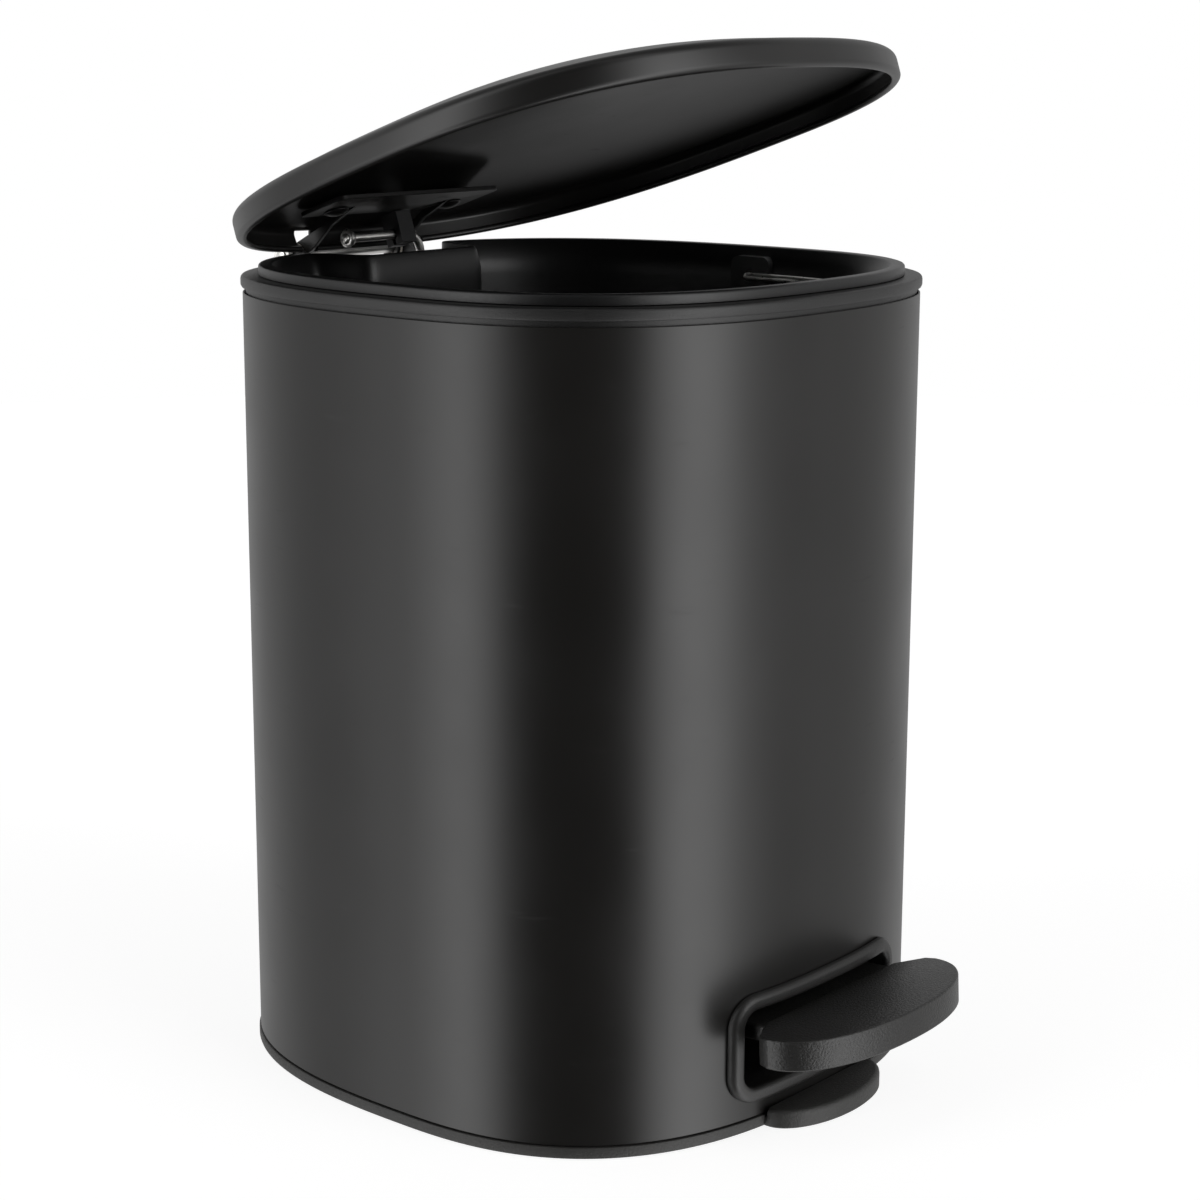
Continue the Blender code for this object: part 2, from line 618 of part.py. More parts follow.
# ---- lift rod -----------------------------------------------------------------------------------
def lift_rod(look):
    """Bent steel wire: a cross leg through the clip, a long leg down, and a hook into the lever."""
    top_y, top_z = rod_pivot_place()
    turn = radians(LID_REST_OPEN)
    rest_y = HINGE_Y - ROD_REACH * cos(turn) - ROD_SHUT_RISE * -sin(turn)
    rest_z = HINGE_Z + ROD_REACH * sin(turn) + ROD_SHUT_RISE * cos(turn)
    hook = lever_hook_rest()
    length = rest_z - hook[1]
    slant = hook[0] - rest_y
    path = [(ROD_END_X, 0.0)]
    path += arc((ROD_SIDE_X - ROD_BEND, -ROD_BEND), ROD_BEND, 90, 0, 6)
    path += arc((ROD_SIDE_X - ROD_BEND, ROD_BEND - length), ROD_BEND, 0, -90, 6)
    path.append((ROD_HOOK_X, -length))
    points = [(x, top_y - slant * drop / length, top_z + drop) for x, drop in path]
    return wire("lift_rod", points, look)


def push_nut(look):
    y, z = rod_pivot_place()
    return sleeve("rod_push_nut", WIRE_RADIUS + GAP, 3.0 * MM, -16.8 * MM, -14.2 * MM, y, z, look)


# ---- pedal --------------------------------------------------------------------------------------
def lever_hook_rest():
    """Where the lever's rear window is at rest, as (y, z)."""
    turn = radians(PEDAL_REST_UP)
    y = PIVOT_Y + LEVER_ARM * cos(turn) + HOOK_RISE * sin(turn)
    z = PIVOT_Z - LEVER_ARM * sin(turn) + HOOK_RISE * cos(turn)
    return y, z


def pedal_lever(look):
    """Steel channel from under the pedal to the lift rod, with axle holes and a rear window."""
    web = 26.3 * MM
    outline = [(-121 * MM, 23.9 * MM), (-121 * MM, web), (66 * MM, web), (80 * MM, 29.2 * MM),
               (95 * MM, 29.2 * MM), (95 * MM, 18.8 * MM), (24 * MM, 18.8 * MM),
               (-10 * MM, 14.6 * MM), (-42 * MM, 14.6 * MM), (-88 * MM, 23.9 * MM)]
    thing = prism("pedal_lever", outline, "X", -LEVER_HALF_WIDTH, LEVER_HALF_WIDTH, look)
    inside = LEVER_HALF_WIDTH - LEVER_SHEET
    hollow = [(-90 * MM, 10 * MM), (-90 * MM, web - LEVER_SHEET), (66 * MM, web - LEVER_SHEET),
              (80 * MM, 29.2 * MM - LEVER_SHEET), (99 * MM, 29.2 * MM - LEVER_SHEET),
              (99 * MM, 10 * MM)]
    tools = [combine(thing, prism("lever_hollow", hollow, "X", -inside, inside, None), "DIFFERENCE")]
    bore = cylinder("lever_bore", AXLE_RADIUS + GAP, (-20 * MM, PIVOT_Y, PIVOT_Z),
                    (20 * MM, PIVOT_Y, PIVOT_Z))
    tools.append(combine(thing, bore, "DIFFERENCE"))
    hook_y = PIVOT_Y + LEVER_ARM
    hook_z = PIVOT_Z + HOOK_RISE
    window = block("lever_window", (10 * MM, hook_y - 4.1 * MM, hook_z - 3.1 * MM),
                   (20 * MM, hook_y + 4.1 * MM, hook_z + 3.1 * MM))
    tools.append(combine(thing, window, "DIFFERENCE"))
    for number, y in SCREW_PLACES:
        hole = cylinder("lever_screw_hole_%d" % number, 2.0 * MM, (0, y, 20 * MM), (0, y, 30 * MM))
        tools.append(combine(thing, hole, "DIFFERENCE"))
    return thing, tools


def pedal_plan(inset=0.0):
    """Half-moon plan of the pedal's outer part, with slanted shoulders back to the neck."""
    half = PEDAL_HALF_WIDTH - inset
    reach = PEDAL_REACH - inset
    front = []
    for i in range(25):
        angle = -pi * i / 24
        x = copysign(abs(cos(angle)) ** (2 / PEDAL_POWER), cos(angle)) * half
        y = -(abs(sin(angle)) ** (2 / PEDAL_POWER)) * reach
        front.append((x, PEDAL_WIDEST_Y + y))
    shoulder = (half - 1.3 * MM, PEDAL_WIDEST_Y + 3.5 * MM - inset)
    neck = (NECK_HALF_WIDTH - inset, PEDAL_BACK_Y - inset)
    return [neck, shoulder] + front + [(-shoulder[0], shoulder[1]), (-neck[0], neck[1])]


def pedal_cover(look):
    """Plastic foot pedal: hollow half-moon outside, solid neck through the bezel, screw bosses."""
    low = PEDAL_TOP - PEDAL_SKIRT
    thing = prism("pedal_cover", pedal_plan(), "Z", low, PEDAL_TOP, look)
    hollow = prism("pedal_hollow", pedal_plan(2.0 * MM), "Z", low - 2 * MM, PEDAL_TOP - 2.6 * MM, None)
    tools = [combine(thing, hollow, "DIFFERENCE")]
    neck = block("pedal_neck", (-NECK_HALF_WIDTH, -107.5 * MM, 26.6 * MM),
                 (NECK_HALF_WIDTH, -86 * MM, NECK_TOP))
    tools.append(combine(thing, neck, "UNION"))
    path = block("lever_path", (-15.4 * MM, -108.5 * MM, 20 * MM), (15.4 * MM, -84 * MM, 26.6 * MM))
    tools.append(combine(thing, path, "DIFFERENCE"))
    boss_y = SCREW_PLACES[1][1]
    boss = cylinder("screw_boss", 4.5 * MM, (0, boss_y, 26.6 * MM), (0, boss_y, 31 * MM))
    tools.append(combine(thing, boss, "UNION"))
    for number, y in SCREW_PLACES:
        hole = cylinder("cover_screw_hole_%d" % number, 1.8 * MM, (0, y, 26 * MM), (0, y, 30.6 * MM))
        tools.append(combine(thing, hole, "DIFFERENCE"))
    return thing, tools


def pedal_screw(number, y, look):
    """Pan-head screw from below, through the lever into the cover."""
    profile = [(2.4, 22.0), (3.4, 22.4), (3.6, 23.6), (1.5, 23.6), (1.5, 30.2)]
    rows = []
    for radius, z in profile:
        angles = [2 * pi * i / 16 for i in range(16)]
        rows.append([(radius * MM * cos(a), y + radius * MM * sin(a), z * MM) for a in angles])
    return loft("pedal_screw_%d" % number, rows, look, cap_ends=True)


# ---- bail ---------------------------------------------------------------------------------------
def bucket_bail(look):
    """Wire handle: its ends pass through the bucket's side walls, its loop lies round the front."""
    end_x = HALF_WIDTH + BUCKET_OFFSET + 4.2 * MM
    side_x = HALF_WIDTH + BAIL_OFFSET
    half = [(end_x, BAIL_Y)]
    half += [(side_x + 2.5 * MM - 2.5 * MM * sin(a), BAIL_Y - 2.5 * MM + 2.5 * MM * cos(a))
             for a in [radians(22.5 * i) for i in range(5)]]
    angles = [radians(-(8 + 6.83 * i)) for i in range(13)]
    half += [plan_point(angle, BAIL_OFFSET) for angle in angles]
    path = half[:-1] + [(-x, y) for x, y in reversed(half[:-1])]
    return wire("bucket_bail", [(x, y, BAIL_Z) for x, y in path], look)


# ---- assembly -----------------------------------------------------------------------------------
def build():
    black_steel = material("matt black painted steel", (0.020, 0.020, 0.021), 0.42, 0.35)
    lid_steel = material("matt black lid", (0.018, 0.018, 0.019), 0.45, 0.35)
    black_plastic = material("black plastic", (0.022, 0.022, 0.024), 0.5)
    bucket_plastic = material("black bucket plastic", (0.016, 0.016, 0.017), 0.38)
    bright_wire = material("zinc plated steel", (0.62, 0.62, 0.60), 0.28, 1.0)
    lever_steel = material("galvanised sheet", (0.50, 0.51, 0.52), 0.40, 1.0)
    nylon = material("natural nylon", (0.70, 0.68, 0.62), 0.5)
    rubber = material("grey rubber", (0.10, 0.10, 0.10), 0.8)

    outer_shell(black_steel)
    top_ring(black_plastic)
    base_tray(black_plastic)
    pedal_bezel(black_plastic)
    bail_holes(inner_bucket(bucket_plastic))
    feet(rubber)
    hinge_hardware(bright_wire, nylon)
    axle_hardware(bright_wire, nylon)

    lid_axis = pivot("lid_axis", HINGE_Y, HINGE_Z, -LID_REST_OPEN)
    shell, notch = lid_shell(lid_steel)
    bracket, bracket_tools = lid_hinge_bracket(lid_steel)
    clip, clip_hole = lift_clip(black_plastic)
    hang_on(lid_axis, shell, notch, bracket, *bracket_tools, clip, clip_hole,
            rivet("left", -1, lid_steel), rivet("right", 1, lid_steel))

    rod_axis = pivot("rod_axis", *rod_pivot_place(), LID_REST_OPEN, parent=lid_axis)
    hang_on(rod_axis, lift_rod(bright_wire), push_nut(bright_wire))

    pedal_axis = pivot("pedal_axis", PIVOT_Y, PIVOT_Z, -PEDAL_REST_UP)
    lever, lever_tools = pedal_lever(lever_steel)
    cover, cover_tools = pedal_cover(black_plastic)
    screws = [pedal_screw(number, y, bright_wire) for number, y in SCREW_PLACES]
    hang_on(pedal_axis, lever, *lever_tools, cover, *cover_tools, *screws)

    bail_axis = pivot("bail_axis", BAIL_Y, BAIL_Z, 0)
    hang_on(bail_axis, bucket_bail(bright_wire))


build()
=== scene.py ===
"""Looks for the pedal trash can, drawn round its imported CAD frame.

Lengths are millimetres about the body's own middle until they reach a mesh, which is in metres in the
row frame: front -Y, hinge +Y, floor z = 0.
"""
import json
from math import ceil, copysign, cos, exp, hypot, pi, radians, sin

import bmesh
import bpy
from mathutils import Matrix, Vector


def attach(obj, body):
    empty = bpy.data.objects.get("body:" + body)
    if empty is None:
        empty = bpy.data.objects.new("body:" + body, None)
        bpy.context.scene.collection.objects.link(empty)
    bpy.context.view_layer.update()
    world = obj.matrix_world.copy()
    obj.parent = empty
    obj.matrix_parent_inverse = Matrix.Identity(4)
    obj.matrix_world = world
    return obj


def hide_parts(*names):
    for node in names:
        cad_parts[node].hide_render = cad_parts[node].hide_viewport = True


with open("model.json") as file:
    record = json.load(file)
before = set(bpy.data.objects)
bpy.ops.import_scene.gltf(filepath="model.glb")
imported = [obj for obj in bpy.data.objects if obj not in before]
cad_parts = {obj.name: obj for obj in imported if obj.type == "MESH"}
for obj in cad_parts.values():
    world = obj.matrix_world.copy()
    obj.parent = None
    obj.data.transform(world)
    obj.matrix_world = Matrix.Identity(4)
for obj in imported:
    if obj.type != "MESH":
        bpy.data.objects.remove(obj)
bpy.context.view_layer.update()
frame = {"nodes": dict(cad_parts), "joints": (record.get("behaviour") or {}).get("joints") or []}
NODES = frame["nodes"]

MM = 0.001
SEGMENTS = 240
SHARP = 38      # degrees: an edge that turns more than this isn't shaded smooth

# ---- sizes shared with the CAD ------------------------------------------------------------------
HALF_WIDTH = 99.2
FRONT_DEPTH = 86.8
BACK_DEPTH = 113.7
FRONT_POWER = 2.56
BACK_POWER = 2.66
WIDEST_Y = -13.45
BASE_BOTTOM, BASE_FLOOR = 0.2, 3.6
SHELL_BOTTOM, SHELL_TOP, SHELL_SHEET = 4.3, 249.3, 0.6
RING_BOTTOM, RING_TOP = 251.0, 254.6
RIM_TOP, RIM_OFFSET = 258.0, -5.0
LEDGE_OFFSET = -10.5
BUCKET_OFFSET, BUCKET_DRAFT, BUCKET_WALL, BUCKET_FLOOR = -14.2, 3.0, 1.4, 52.0
RECESS_FRONT_Y, RECESS_CORNER_X, RECESS_MOUTH_X, RECESS_MOUTH_Y = 65.5, 27.5, 43.0, 90.0
LID_EDGE, LID_TUCK, LID_BULGE, LID_CURL, LID_SKIRT = 254.95, -1.9, 0.4, 1.75, 4.2
LID_SHOULDER, LID_SHOULDER_RISE, LID_DOME_RISE, LID_DOME_POWER = 3.7, 3.3, 9.3, 3.7
LID_SHEET, LID_CREST_Y = 0.8, -7.7
LID_REST_OPEN = 18.67
HINGE_Y, HINGE_Z = 105.1, 255.9
PIN_RADIUS, PIN_HALF = 2.0, 31.0
LUG_INNER_X, LUG_OUTER_X = 24.4, 28.2
EAR_INNER_X, EAR_OUTER_X = 21.3, 22.8
EYE_RADIUS = 4.3
PLATE_LOW, PLATE_HIGH = 263.7, 265.2
RIVET_X, RIVET_Y, RIVET_HOLE = 27.0, 78.0, 2.1
WIRE_RADIUS = 1.5
ROD_REACH, ROD_SHUT_RISE, ROD_SIDE_X, ROD_BEND = 18.07, 0.22, 19.0, 7.0
ROD_END_X, ROD_HOOK_X = -17.6, 5.0
PIVOT_Y, PIVOT_Z = -26.6, 20.0
POST_INNER_X, POST_OUTER_X = 18, 21.5
AXLE_RADIUS, AXLE_HALF = 2.0, 25.0
LEVER_ARM, HOOK_RISE, PEDAL_REST_UP = 114.6, 4.0, 3.0
SLOT_HALF_WIDTH, SLOT_BOTTOM, SLOT_TOP, SLOT_RADIUS = 38.0, 14.9, 39.8, 5.0
BEZEL_BAND, BEZEL_STAND, BEZEL_SLEEVE = 4.9, 3.0, 1.8
PEDAL_TOP, PEDAL_SKIRT, PEDAL_HALF_WIDTH, PEDAL_WIDEST_Y = 33.3, 9.4, 46.2, -114.0
PEDAL_REACH, PEDAL_POWER, PEDAL_BACK_Y = 22.0, 2.2, -105.2
NECK_HALF_WIDTH, NECK_BOTTOM, NECK_TOP = 34.5, 26.6, 32.0
SCREW_PLACES = (-98.0, -115.0)
BAIL_Y, BAIL_Z, BAIL_OFFSET = -5.8, 248.3, -18.4
LIP_HALF_WIDTH, LIP_REACH, LIP_TOP = 27.4, 13.8, 6.2
FOOT_RADIUS = 8.0
FOOT_PLACES = {"front_left": (-60, -60), "front_right": (60, -60),
               "back_left": (-60, 60), "back_right": (60, 60)}
GAP = 0.3
SLIT_INNER_X, SLIT_OUTER_X = 20.8, 28.9

lid_joint = next(joint for joint in frame["joints"] if joint["name"] == "lid_hinge")
BODY_Y = lid_joint["pos_m"][1] / MM - HINGE_Y


# ---- materials ----------------------------------------------------------------------------------
class Nodes:
    """A material's node tree, with short calls for the nodes that the looks share."""

    def __init__(self, name, colour, roughness, metallic=0.0):
        self.material = bpy.data.materials.new(name)
        self.material.use_nodes = True
        self.tree = self.material.node_tree
        self.shader = self.tree.nodes["Principled BSDF"]
        self.shader.inputs["Base Color"].default_value = (*colour, 1.0)
        self.shader.inputs["Roughness"].default_value = roughness
        self.shader.inputs["Metallic"].default_value = metallic
        self.place = self.tree.nodes.new("ShaderNodeTexCoord").outputs["Object"]
        self.height = None

    def join(self, start, end):
        self.tree.links.new(start, end)

    def stretched(self, scale):
        made = self.tree.nodes.new("ShaderNodeMapping")
        made.inputs["Scale"].default_value = scale
        self.join(self.place, made.inputs["Vector"])
        return made.outputs["Vector"]

    def noise(self, scale, detail=3.0, rough=0.5, stretch=None):
        made = self.tree.nodes.new("ShaderNodeTexNoise")
        made.inputs["Scale"].default_value = scale
        made.inputs["Detail"].default_value = detail
        made.inputs["Roughness"].default_value = rough
        self.join(self.stretched(stretch) if stretch else self.place, made.inputs["Vector"])
        return made.outputs["Fac"]

    def cells(self, scale, stretch=None):
        made = self.tree.nodes.new("ShaderNodeTexVoronoi")
        made.inputs["Scale"].default_value = scale
        self.join(self.stretched(stretch) if stretch else self.place, made.inputs["Vector"])
        return made.outputs["Distance"]

    def span(self, value, low, high, to_low, to_high):
        made = self.tree.nodes.new("ShaderNodeMapRange")
        made.inputs["From Min"].default_value = low
        made.inputs["From Max"].default_value = high
        made.inputs["To Min"].default_value = to_low
        made.inputs["To Max"].default_value = to_high
        self.join(value, made.inputs["Value"])
        return made.outputs["Result"]

    def sum(self, first, second):
        made = self.tree.nodes.new("ShaderNodeMath")
        made.operation = "ADD"
        self.join(first, made.inputs[0])
        self.join(second, made.inputs[1])
        return made.outputs["Value"]

    def colours(self, value, low, high):
        made = self.tree.nodes.new("ShaderNodeMix")
        made.data_type = "RGBA"
        made.inputs[6].default_value = (*low, 1.0)
        made.inputs[7].default_value = (*high, 1.0)
        self.join(value, made.inputs[0])
        self.join(made.outputs[2], self.shader.inputs["Base Color"])

    def bump(self, value, strength, distance):
        made = self.tree.nodes.new("ShaderNodeBump")
        made.inputs["Strength"].default_value = strength
        made.inputs["Distance"].default_value = distance * MM
        self.join(value, made.inputs["Height"])
        if self.height:
            self.join(self.height, made.inputs["Normal"])
        self.height = made.outputs["Normal"]
        self.join(self.height, self.shader.inputs["Normal"])

    def rough(self, value):
        self.join(value, self.shader.inputs["Roughness"])


def painted_steel(name, colour, roughness):
    """Satin powder coat: fine peel, soft patches, and a few long faint scuffs."""
    look = Nodes(name, colour, roughness)
    peel = look.noise(1500, 2.0)
    patches = look.span(look.noise(26, 3.0), 0.3, 0.7, roughness - 0.025, roughness + 0.03)
    scuffs = look.span(look.noise(60, 5.0, 0.6, (1, 1, 7)), 0.64, 0.72, 0.0, 0.07)
    look.rough(look.sum(patches, scuffs))
    tint = look.span(look.noise(14, 2.0), 0.3, 0.7, 0.0, 1.0)
    look.colours(tint, colour, tuple(1.18 * part for part in colour))
    look.bump(peel, 0.06, 0.05)
    look.bump(look.noise(220, 2.0), 0.04, 0.10)
    return look.material


def moulded_plastic(name, colour, roughness, grain=1900, depth=0.10, speck=0.0):
    """Spark-textured moulding: fine grain in height and roughness, optional pale specks."""
    look = Nodes(name, colour, roughness)
    fine = look.noise(grain, 3.0, 0.6)
    look.rough(look.span(fine, 0.3, 0.7, roughness - 0.05, roughness + 0.06))
    cloud = look.span(look.noise(40, 3.0), 0.3, 0.7, 0.0, 0.6)
    if speck:
        dots = look.span(look.cells(230), 0.075, 0.05, 0.0, speck)
        cloud = look.sum(cloud, dots)
    look.colours(cloud, colour, tuple(1.9 * part for part in colour))
    look.bump(fine, 0.75, depth)
    return look.material


def bright_zinc(name, colour, roughness, stretch):
    """Drawn or rolled zinc: long fine lines and cloudy spangle."""
    look = Nodes(name, colour, roughness, 1.0)
    lines = look.noise(900, 2.0, 0.5, stretch)
    look.rough(look.span(lines, 0.3, 0.7, roughness - 0.07, roughness + 0.09))
    cloud = look.span(look.cells(160), 0.0, 0.7, 0.0, 1.0)
    look.colours(cloud, tuple(0.80 * part for part in colour), colour)
    look.bump(lines, 0.02, 0.02)
    return look.material


PAINT = painted_steel("body_powder_coat", (0.0078, 0.0073, 0.0068), 0.30)
LID_PAINT = painted_steel("lid_powder_coat", (0.0085, 0.0081, 0.0078), 0.32)
RING_PLASTIC = moulded_plastic("collar_plastic", (0.0085, 0.0084, 0.0084), 0.40)
BASE_PLASTIC = moulded_plastic("base_plastic", (0.020, 0.0195, 0.0185), 0.50, 1300, 0.30)
FRAME_PLASTIC = moulded_plastic("pedal_frame_plastic", (0.016, 0.0155, 0.015), 0.42)
PEDAL_PLASTIC = moulded_plastic("pedal_plastic", (0.013, 0.0127, 0.0122), 0.34, 1300, 0.26, 12.0)
BUCKET_PLASTIC = moulded_plastic("bucket_plastic", (0.0050, 0.0050, 0.0052), 0.36, 2400, 0.05)
CLIP_PLASTIC = moulded_plastic("clip_plastic", (0.009, 0.009, 0.0095), 0.40)
ZINC = bright_zinc("zinc_wire", (0.90, 0.89, 0.86), 0.34, (0.06, 1, 1))
SHEET = bright_zinc("zinc_sheet", (0.56, 0.56, 0.55), 0.36, (1, 0.06, 1))
NYLON = moulded_plastic("natural_nylon", (0.62, 0.59, 0.52), 0.48)
RUBBER = moulded_plastic("foot_rubber", (0.05, 0.05, 0.05), 0.80, 1100, 0.15)


# ---- mesh builders ------------------------------------------------------------------------------
def finish_mesh(name, bm, look=None, sharp=SHARP):
    bmesh.ops.recalc_face_normals(bm, faces=bm.faces)
    data = bpy.data.meshes.new(name)
    bm.to_mesh(data)
    bm.free()
    data.transform(Matrix.Translation((0, BODY_Y * MM, 0)) @ Matrix.Scale(MM, 4))
    made = bpy.data.objects.new(name, data)
    bpy.context.scene.collection.objects.link(made)
    if look:
        data.materials.append(look)
    smooth(data, sharp)
    return made


def smooth(data, sharp=SHARP):
    data.polygons.foreach_set("use_smooth", [True] * len(data.polygons))
    data.set_sharp_from_angle(angle=radians(sharp))


def skin(name, rows, look=None, wrap=False, caps=False, sharp=SHARP):
    """A surface through closed rows of points."""
    bm = bmesh.new()
    rings = [[bm.verts.new(point) for point in row] for row in rows]
    pairs = list(zip(rings, rings[1:]))
    if wrap:
        pairs.append((rings[-1], rings[0]))
    for low, high in pairs:
        for i in range(len(low)):
            j = (i + 1) % len(low)
            bm.faces.new((low[i], low[j], high[j], high[i]))
    if caps:
        bm.faces.new(rings[0])
        bm.faces.new(rings[-1])
    return finish_mesh(name, bm, look, sharp)


def prism(name, outline, axis, low, high):
    """A flat outline pushed along X, Y or Z from low to high."""
    place = {"X": lambda a, b, c: (c, a, b),
             "Y": lambda a, b, c: (a, c, b),
             "Z": lambda a, b, c: (a, b, c)}[axis]
    rows = [[place(a, b, level) for a, b in outline] for level in (low, high)]
    return skin(name, rows, caps=True)


def block(name, low, high):
    outline = [(low[0], low[1]), (high[0], low[1]), (high[0], high[1]), (low[0], high[1])]
    return prism(name, outline, "Z", low[2], high[2])


def lathe(name, profile, axis, centre, look=None, sides=48, caps=True, wrap=False):
    """(radius, place along the axis) rows turned about an axis along X or Z."""
    angles = [2 * pi * i / sides for i in range(sides)]
    x, y, z = centre
    rows = []
    for radius, along in profile:
        if axis == "X":
            rows.append([(along, y + radius * cos(a), z + radius * sin(a)) for a in angles])
        else:
            rows.append([(x + radius * cos(a), y + radius * sin(a), along) for a in angles])
    return skin(name, rows, look, wrap=wrap, caps=caps)


def rod(name, radius, axis, centre, low, high):
    return lathe(name, [(radius, low), (radius, high)], axis, centre)


def boolean(thing, tool, operation="DIFFERENCE"):
    """Apply one exact boolean and throw the tool away."""
    step = thing.modifiers.new("cut", "BOOLEAN")
    step.operation = operation
    step.solver = "EXACT"
    step.object = tool
    depsgraph = bpy.context.evaluated_depsgraph_get()
    done = bpy.data.meshes.new_from_object(thing.evaluated_get(depsgraph))
    thing.modifiers.clear()
    old = thing.data
    thing.data = done
    bpy.data.meshes.remove(old)
    bpy.data.objects.remove(tool, do_unlink=True)
    return thing


def soften(thing, width, segments=3, angle=40):
    """Round the sharp edges of a piece."""
    bm = bmesh.new()
    bm.from_mesh(thing.data)
    bmesh.ops.remove_doubles(bm, verts=bm.verts, dist=1e-6)
    bmesh.ops.dissolve_limit(bm, angle_limit=radians(0.5), verts=bm.verts, edges=bm.edges)
    bm.to_mesh(thing.data)
    bm.free()
    step = thing.modifiers.new("soft_edges", "BEVEL")
    step.width = width * MM
    step.segments = segments
    step.limit_method = "ANGLE"
    step.angle_limit = radians(angle)
    smooth(thing.data)
    return thing


def arc(centre, radius, start, end, steps):
    angles = [radians(start + (end - start) * i / steps) for i in range(steps + 1)]
    return [(centre[0] + radius * cos(a), centre[1] + radius * sin(a)) for a in angles]


def turn(thing, y, z, degrees):
    """Turn a drawn piece about an axis along X."""
    middle = Vector((0, (y + BODY_Y) * MM, z * MM))
    spin = Matrix.Rotation(radians(degrees), 4, "X")
    thing.data.transform(Matrix.Translation(middle) @ spin @ Matrix.Translation(-middle))


def wire(name, path, radius, look, sides=24):
    """A round wire with softly ground ends."""
    path = [Vector(point) for point in path]
    ways = [(b - a).normalized() for a, b in zip(path, path[1:])]
    ways = [ways[0]] + [(a + b).normalized() for a, b in zip(ways, ways[1:])] + [ways[-1]]
    side = ways[0].orthogonal().normalized()
    rows = []
    for i, (spot, way) in enumerate(zip(path, ways)):
        side = (side - way * side.dot(way)).normalized()
        other = way.cross(side)
        stops = [(0.0, radius)]
        if i == 0:
            stops = [(0.0, radius - 0.45), (0.12, radius - 0.15), (0.45, radius)]
        if i == len(path) - 1:
            stops = [(-0.45, radius), (-0.12, radius - 0.15), (0.0, radius - 0.45)]
        for along, size in stops:
            spots = []
            for k in range(sides):
                a = 2 * pi * k / sides
                spots.append(spot + way * along + side * size * cos(a) + other * size * sin(a))
            rows.append(spots)
    return skin(name, rows, look, caps=True, sharp=60)


def belongs(thing, body, slot, *nodes):
    """Hang a piece on the body it rides on and hide the CAD nodes it stands for; the slot argument is not
    used.
    """
    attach(thing, body)
    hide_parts(*nodes)
    return thing


# ---- the body's plan ----------------------------------------------------------------------------
def plan_point(angle, offset):
    depth, power = (BACK_DEPTH, BACK_POWER) if sin(angle) >= 0 else (FRONT_DEPTH, FRONT_POWER)
    total = abs(cos(angle) / HALF_WIDTH) ** power + abs(sin(angle) / depth) ** power
    radius = total ** (-1 / power)
    x = radius * cos(angle)
    y = radius * sin(angle)
    slope_x = copysign(abs(x / HALF_WIDTH) ** (power - 1) / HALF_WIDTH, x)
    slope_y = copysign(abs(y / depth) ** (power - 1) / depth, y)
    length = hypot(slope_x, slope_y)
    return x + offset * slope_x / length, y + WIDEST_Y + offset * slope_y / length


def plan_row(offset, z, scale=1.0):
    row = []
    for i in range(SEGMENTS):
        x, y = plan_point(2 * pi * i / SEGMENTS, offset)
        row.append((x * scale, LID_CREST_Y + (y - LID_CREST_Y) * scale, z))
    return row


def front_y(x, offset):
    fall = (1 - abs(x / HALF_WIDTH) ** FRONT_POWER) ** (1 / FRONT_POWER)
    return WIDEST_Y - FRONT_DEPTH * fall - offset


# ---- body ---------------------------------------------------------------------------------------
def slot_path(edge, straight_steps=24):
    half = SLOT_HALF_WIDTH - SLOT_RADIUS
    low = SLOT_BOTTOM + SLOT_RADIUS
    high = SLOT_TOP - SLOT_RADIUS
    radius = SLOT_RADIUS + edge
    between = [half - 2 * half * i / straight_steps for i in range(1, straight_steps)]
    path = arc((half, high), radius, 0, 90, 12)
    path += [(x, high + radius) for x in between]
    path += arc((-half, high), radius, 90, 180, 12)
    path += arc((-half, low), radius, 180, 270, 12)
    path += [(-x, low - radius) for x in between]
    path += arc((half, low), radius, 270, 360, 12)
    return path


def body_sheet():
    """Rolled sheet with rounded cut edges, an opening for the pedal and a lap seam at the back."""
    inner = -SHELL_SHEET
    edge = 0.2
    profile = [(-edge, SHELL_BOTTOM), (0, SHELL_BOTTOM + edge)]
    profile += [(0, SHELL_BOTTOM + (SHELL_TOP - SHELL_BOTTOM) * i / 8) for i in range(1, 8)]
    profile += [(0, SHELL_TOP - edge), (-edge, SHELL_TOP), (inner + edge, SHELL_TOP),
                (inner, SHELL_TOP - edge), (inner, SHELL_BOTTOM + edge), (inner + edge, SHELL_BOTTOM)]
    thing = skin("body_sheet", [plan_row(*spot) for spot in profile], PAINT, wrap=True)
    boolean(thing, prism("opening", slot_path(BEZEL_SLEEVE + GAP), "Y", -115, -80))
    smooth(thing.data)
    belongs(thing, "body", "body_paint", "outer_shell")
    back = WIDEST_Y + BACK_DEPTH
    half, crown, low, high = 1.6, 1.2, SHELL_BOTTOM + 4, SHELL_TOP - 4
    seam = [(-half, back - 0.2), (half, back - 0.2), (half, back + 0.12), (crown, back + 0.35),
            (-crown, back + 0.35), (-half, back + 0.12)]
    lap = skin("back_seam", [[(x, y, z) for x, y in seam] for z in (low, high)], PAINT, caps=True)
    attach(lap, "body")


def lug_outline():
    eye = arc((HINGE_Y, HINGE_Z), EYE_RADIUS, 140, -100, 28)
    return [(88.0, 251.5), (88.0, 254.3), (94.0, 254.3)] + eye + [(101.5, 251.5)]


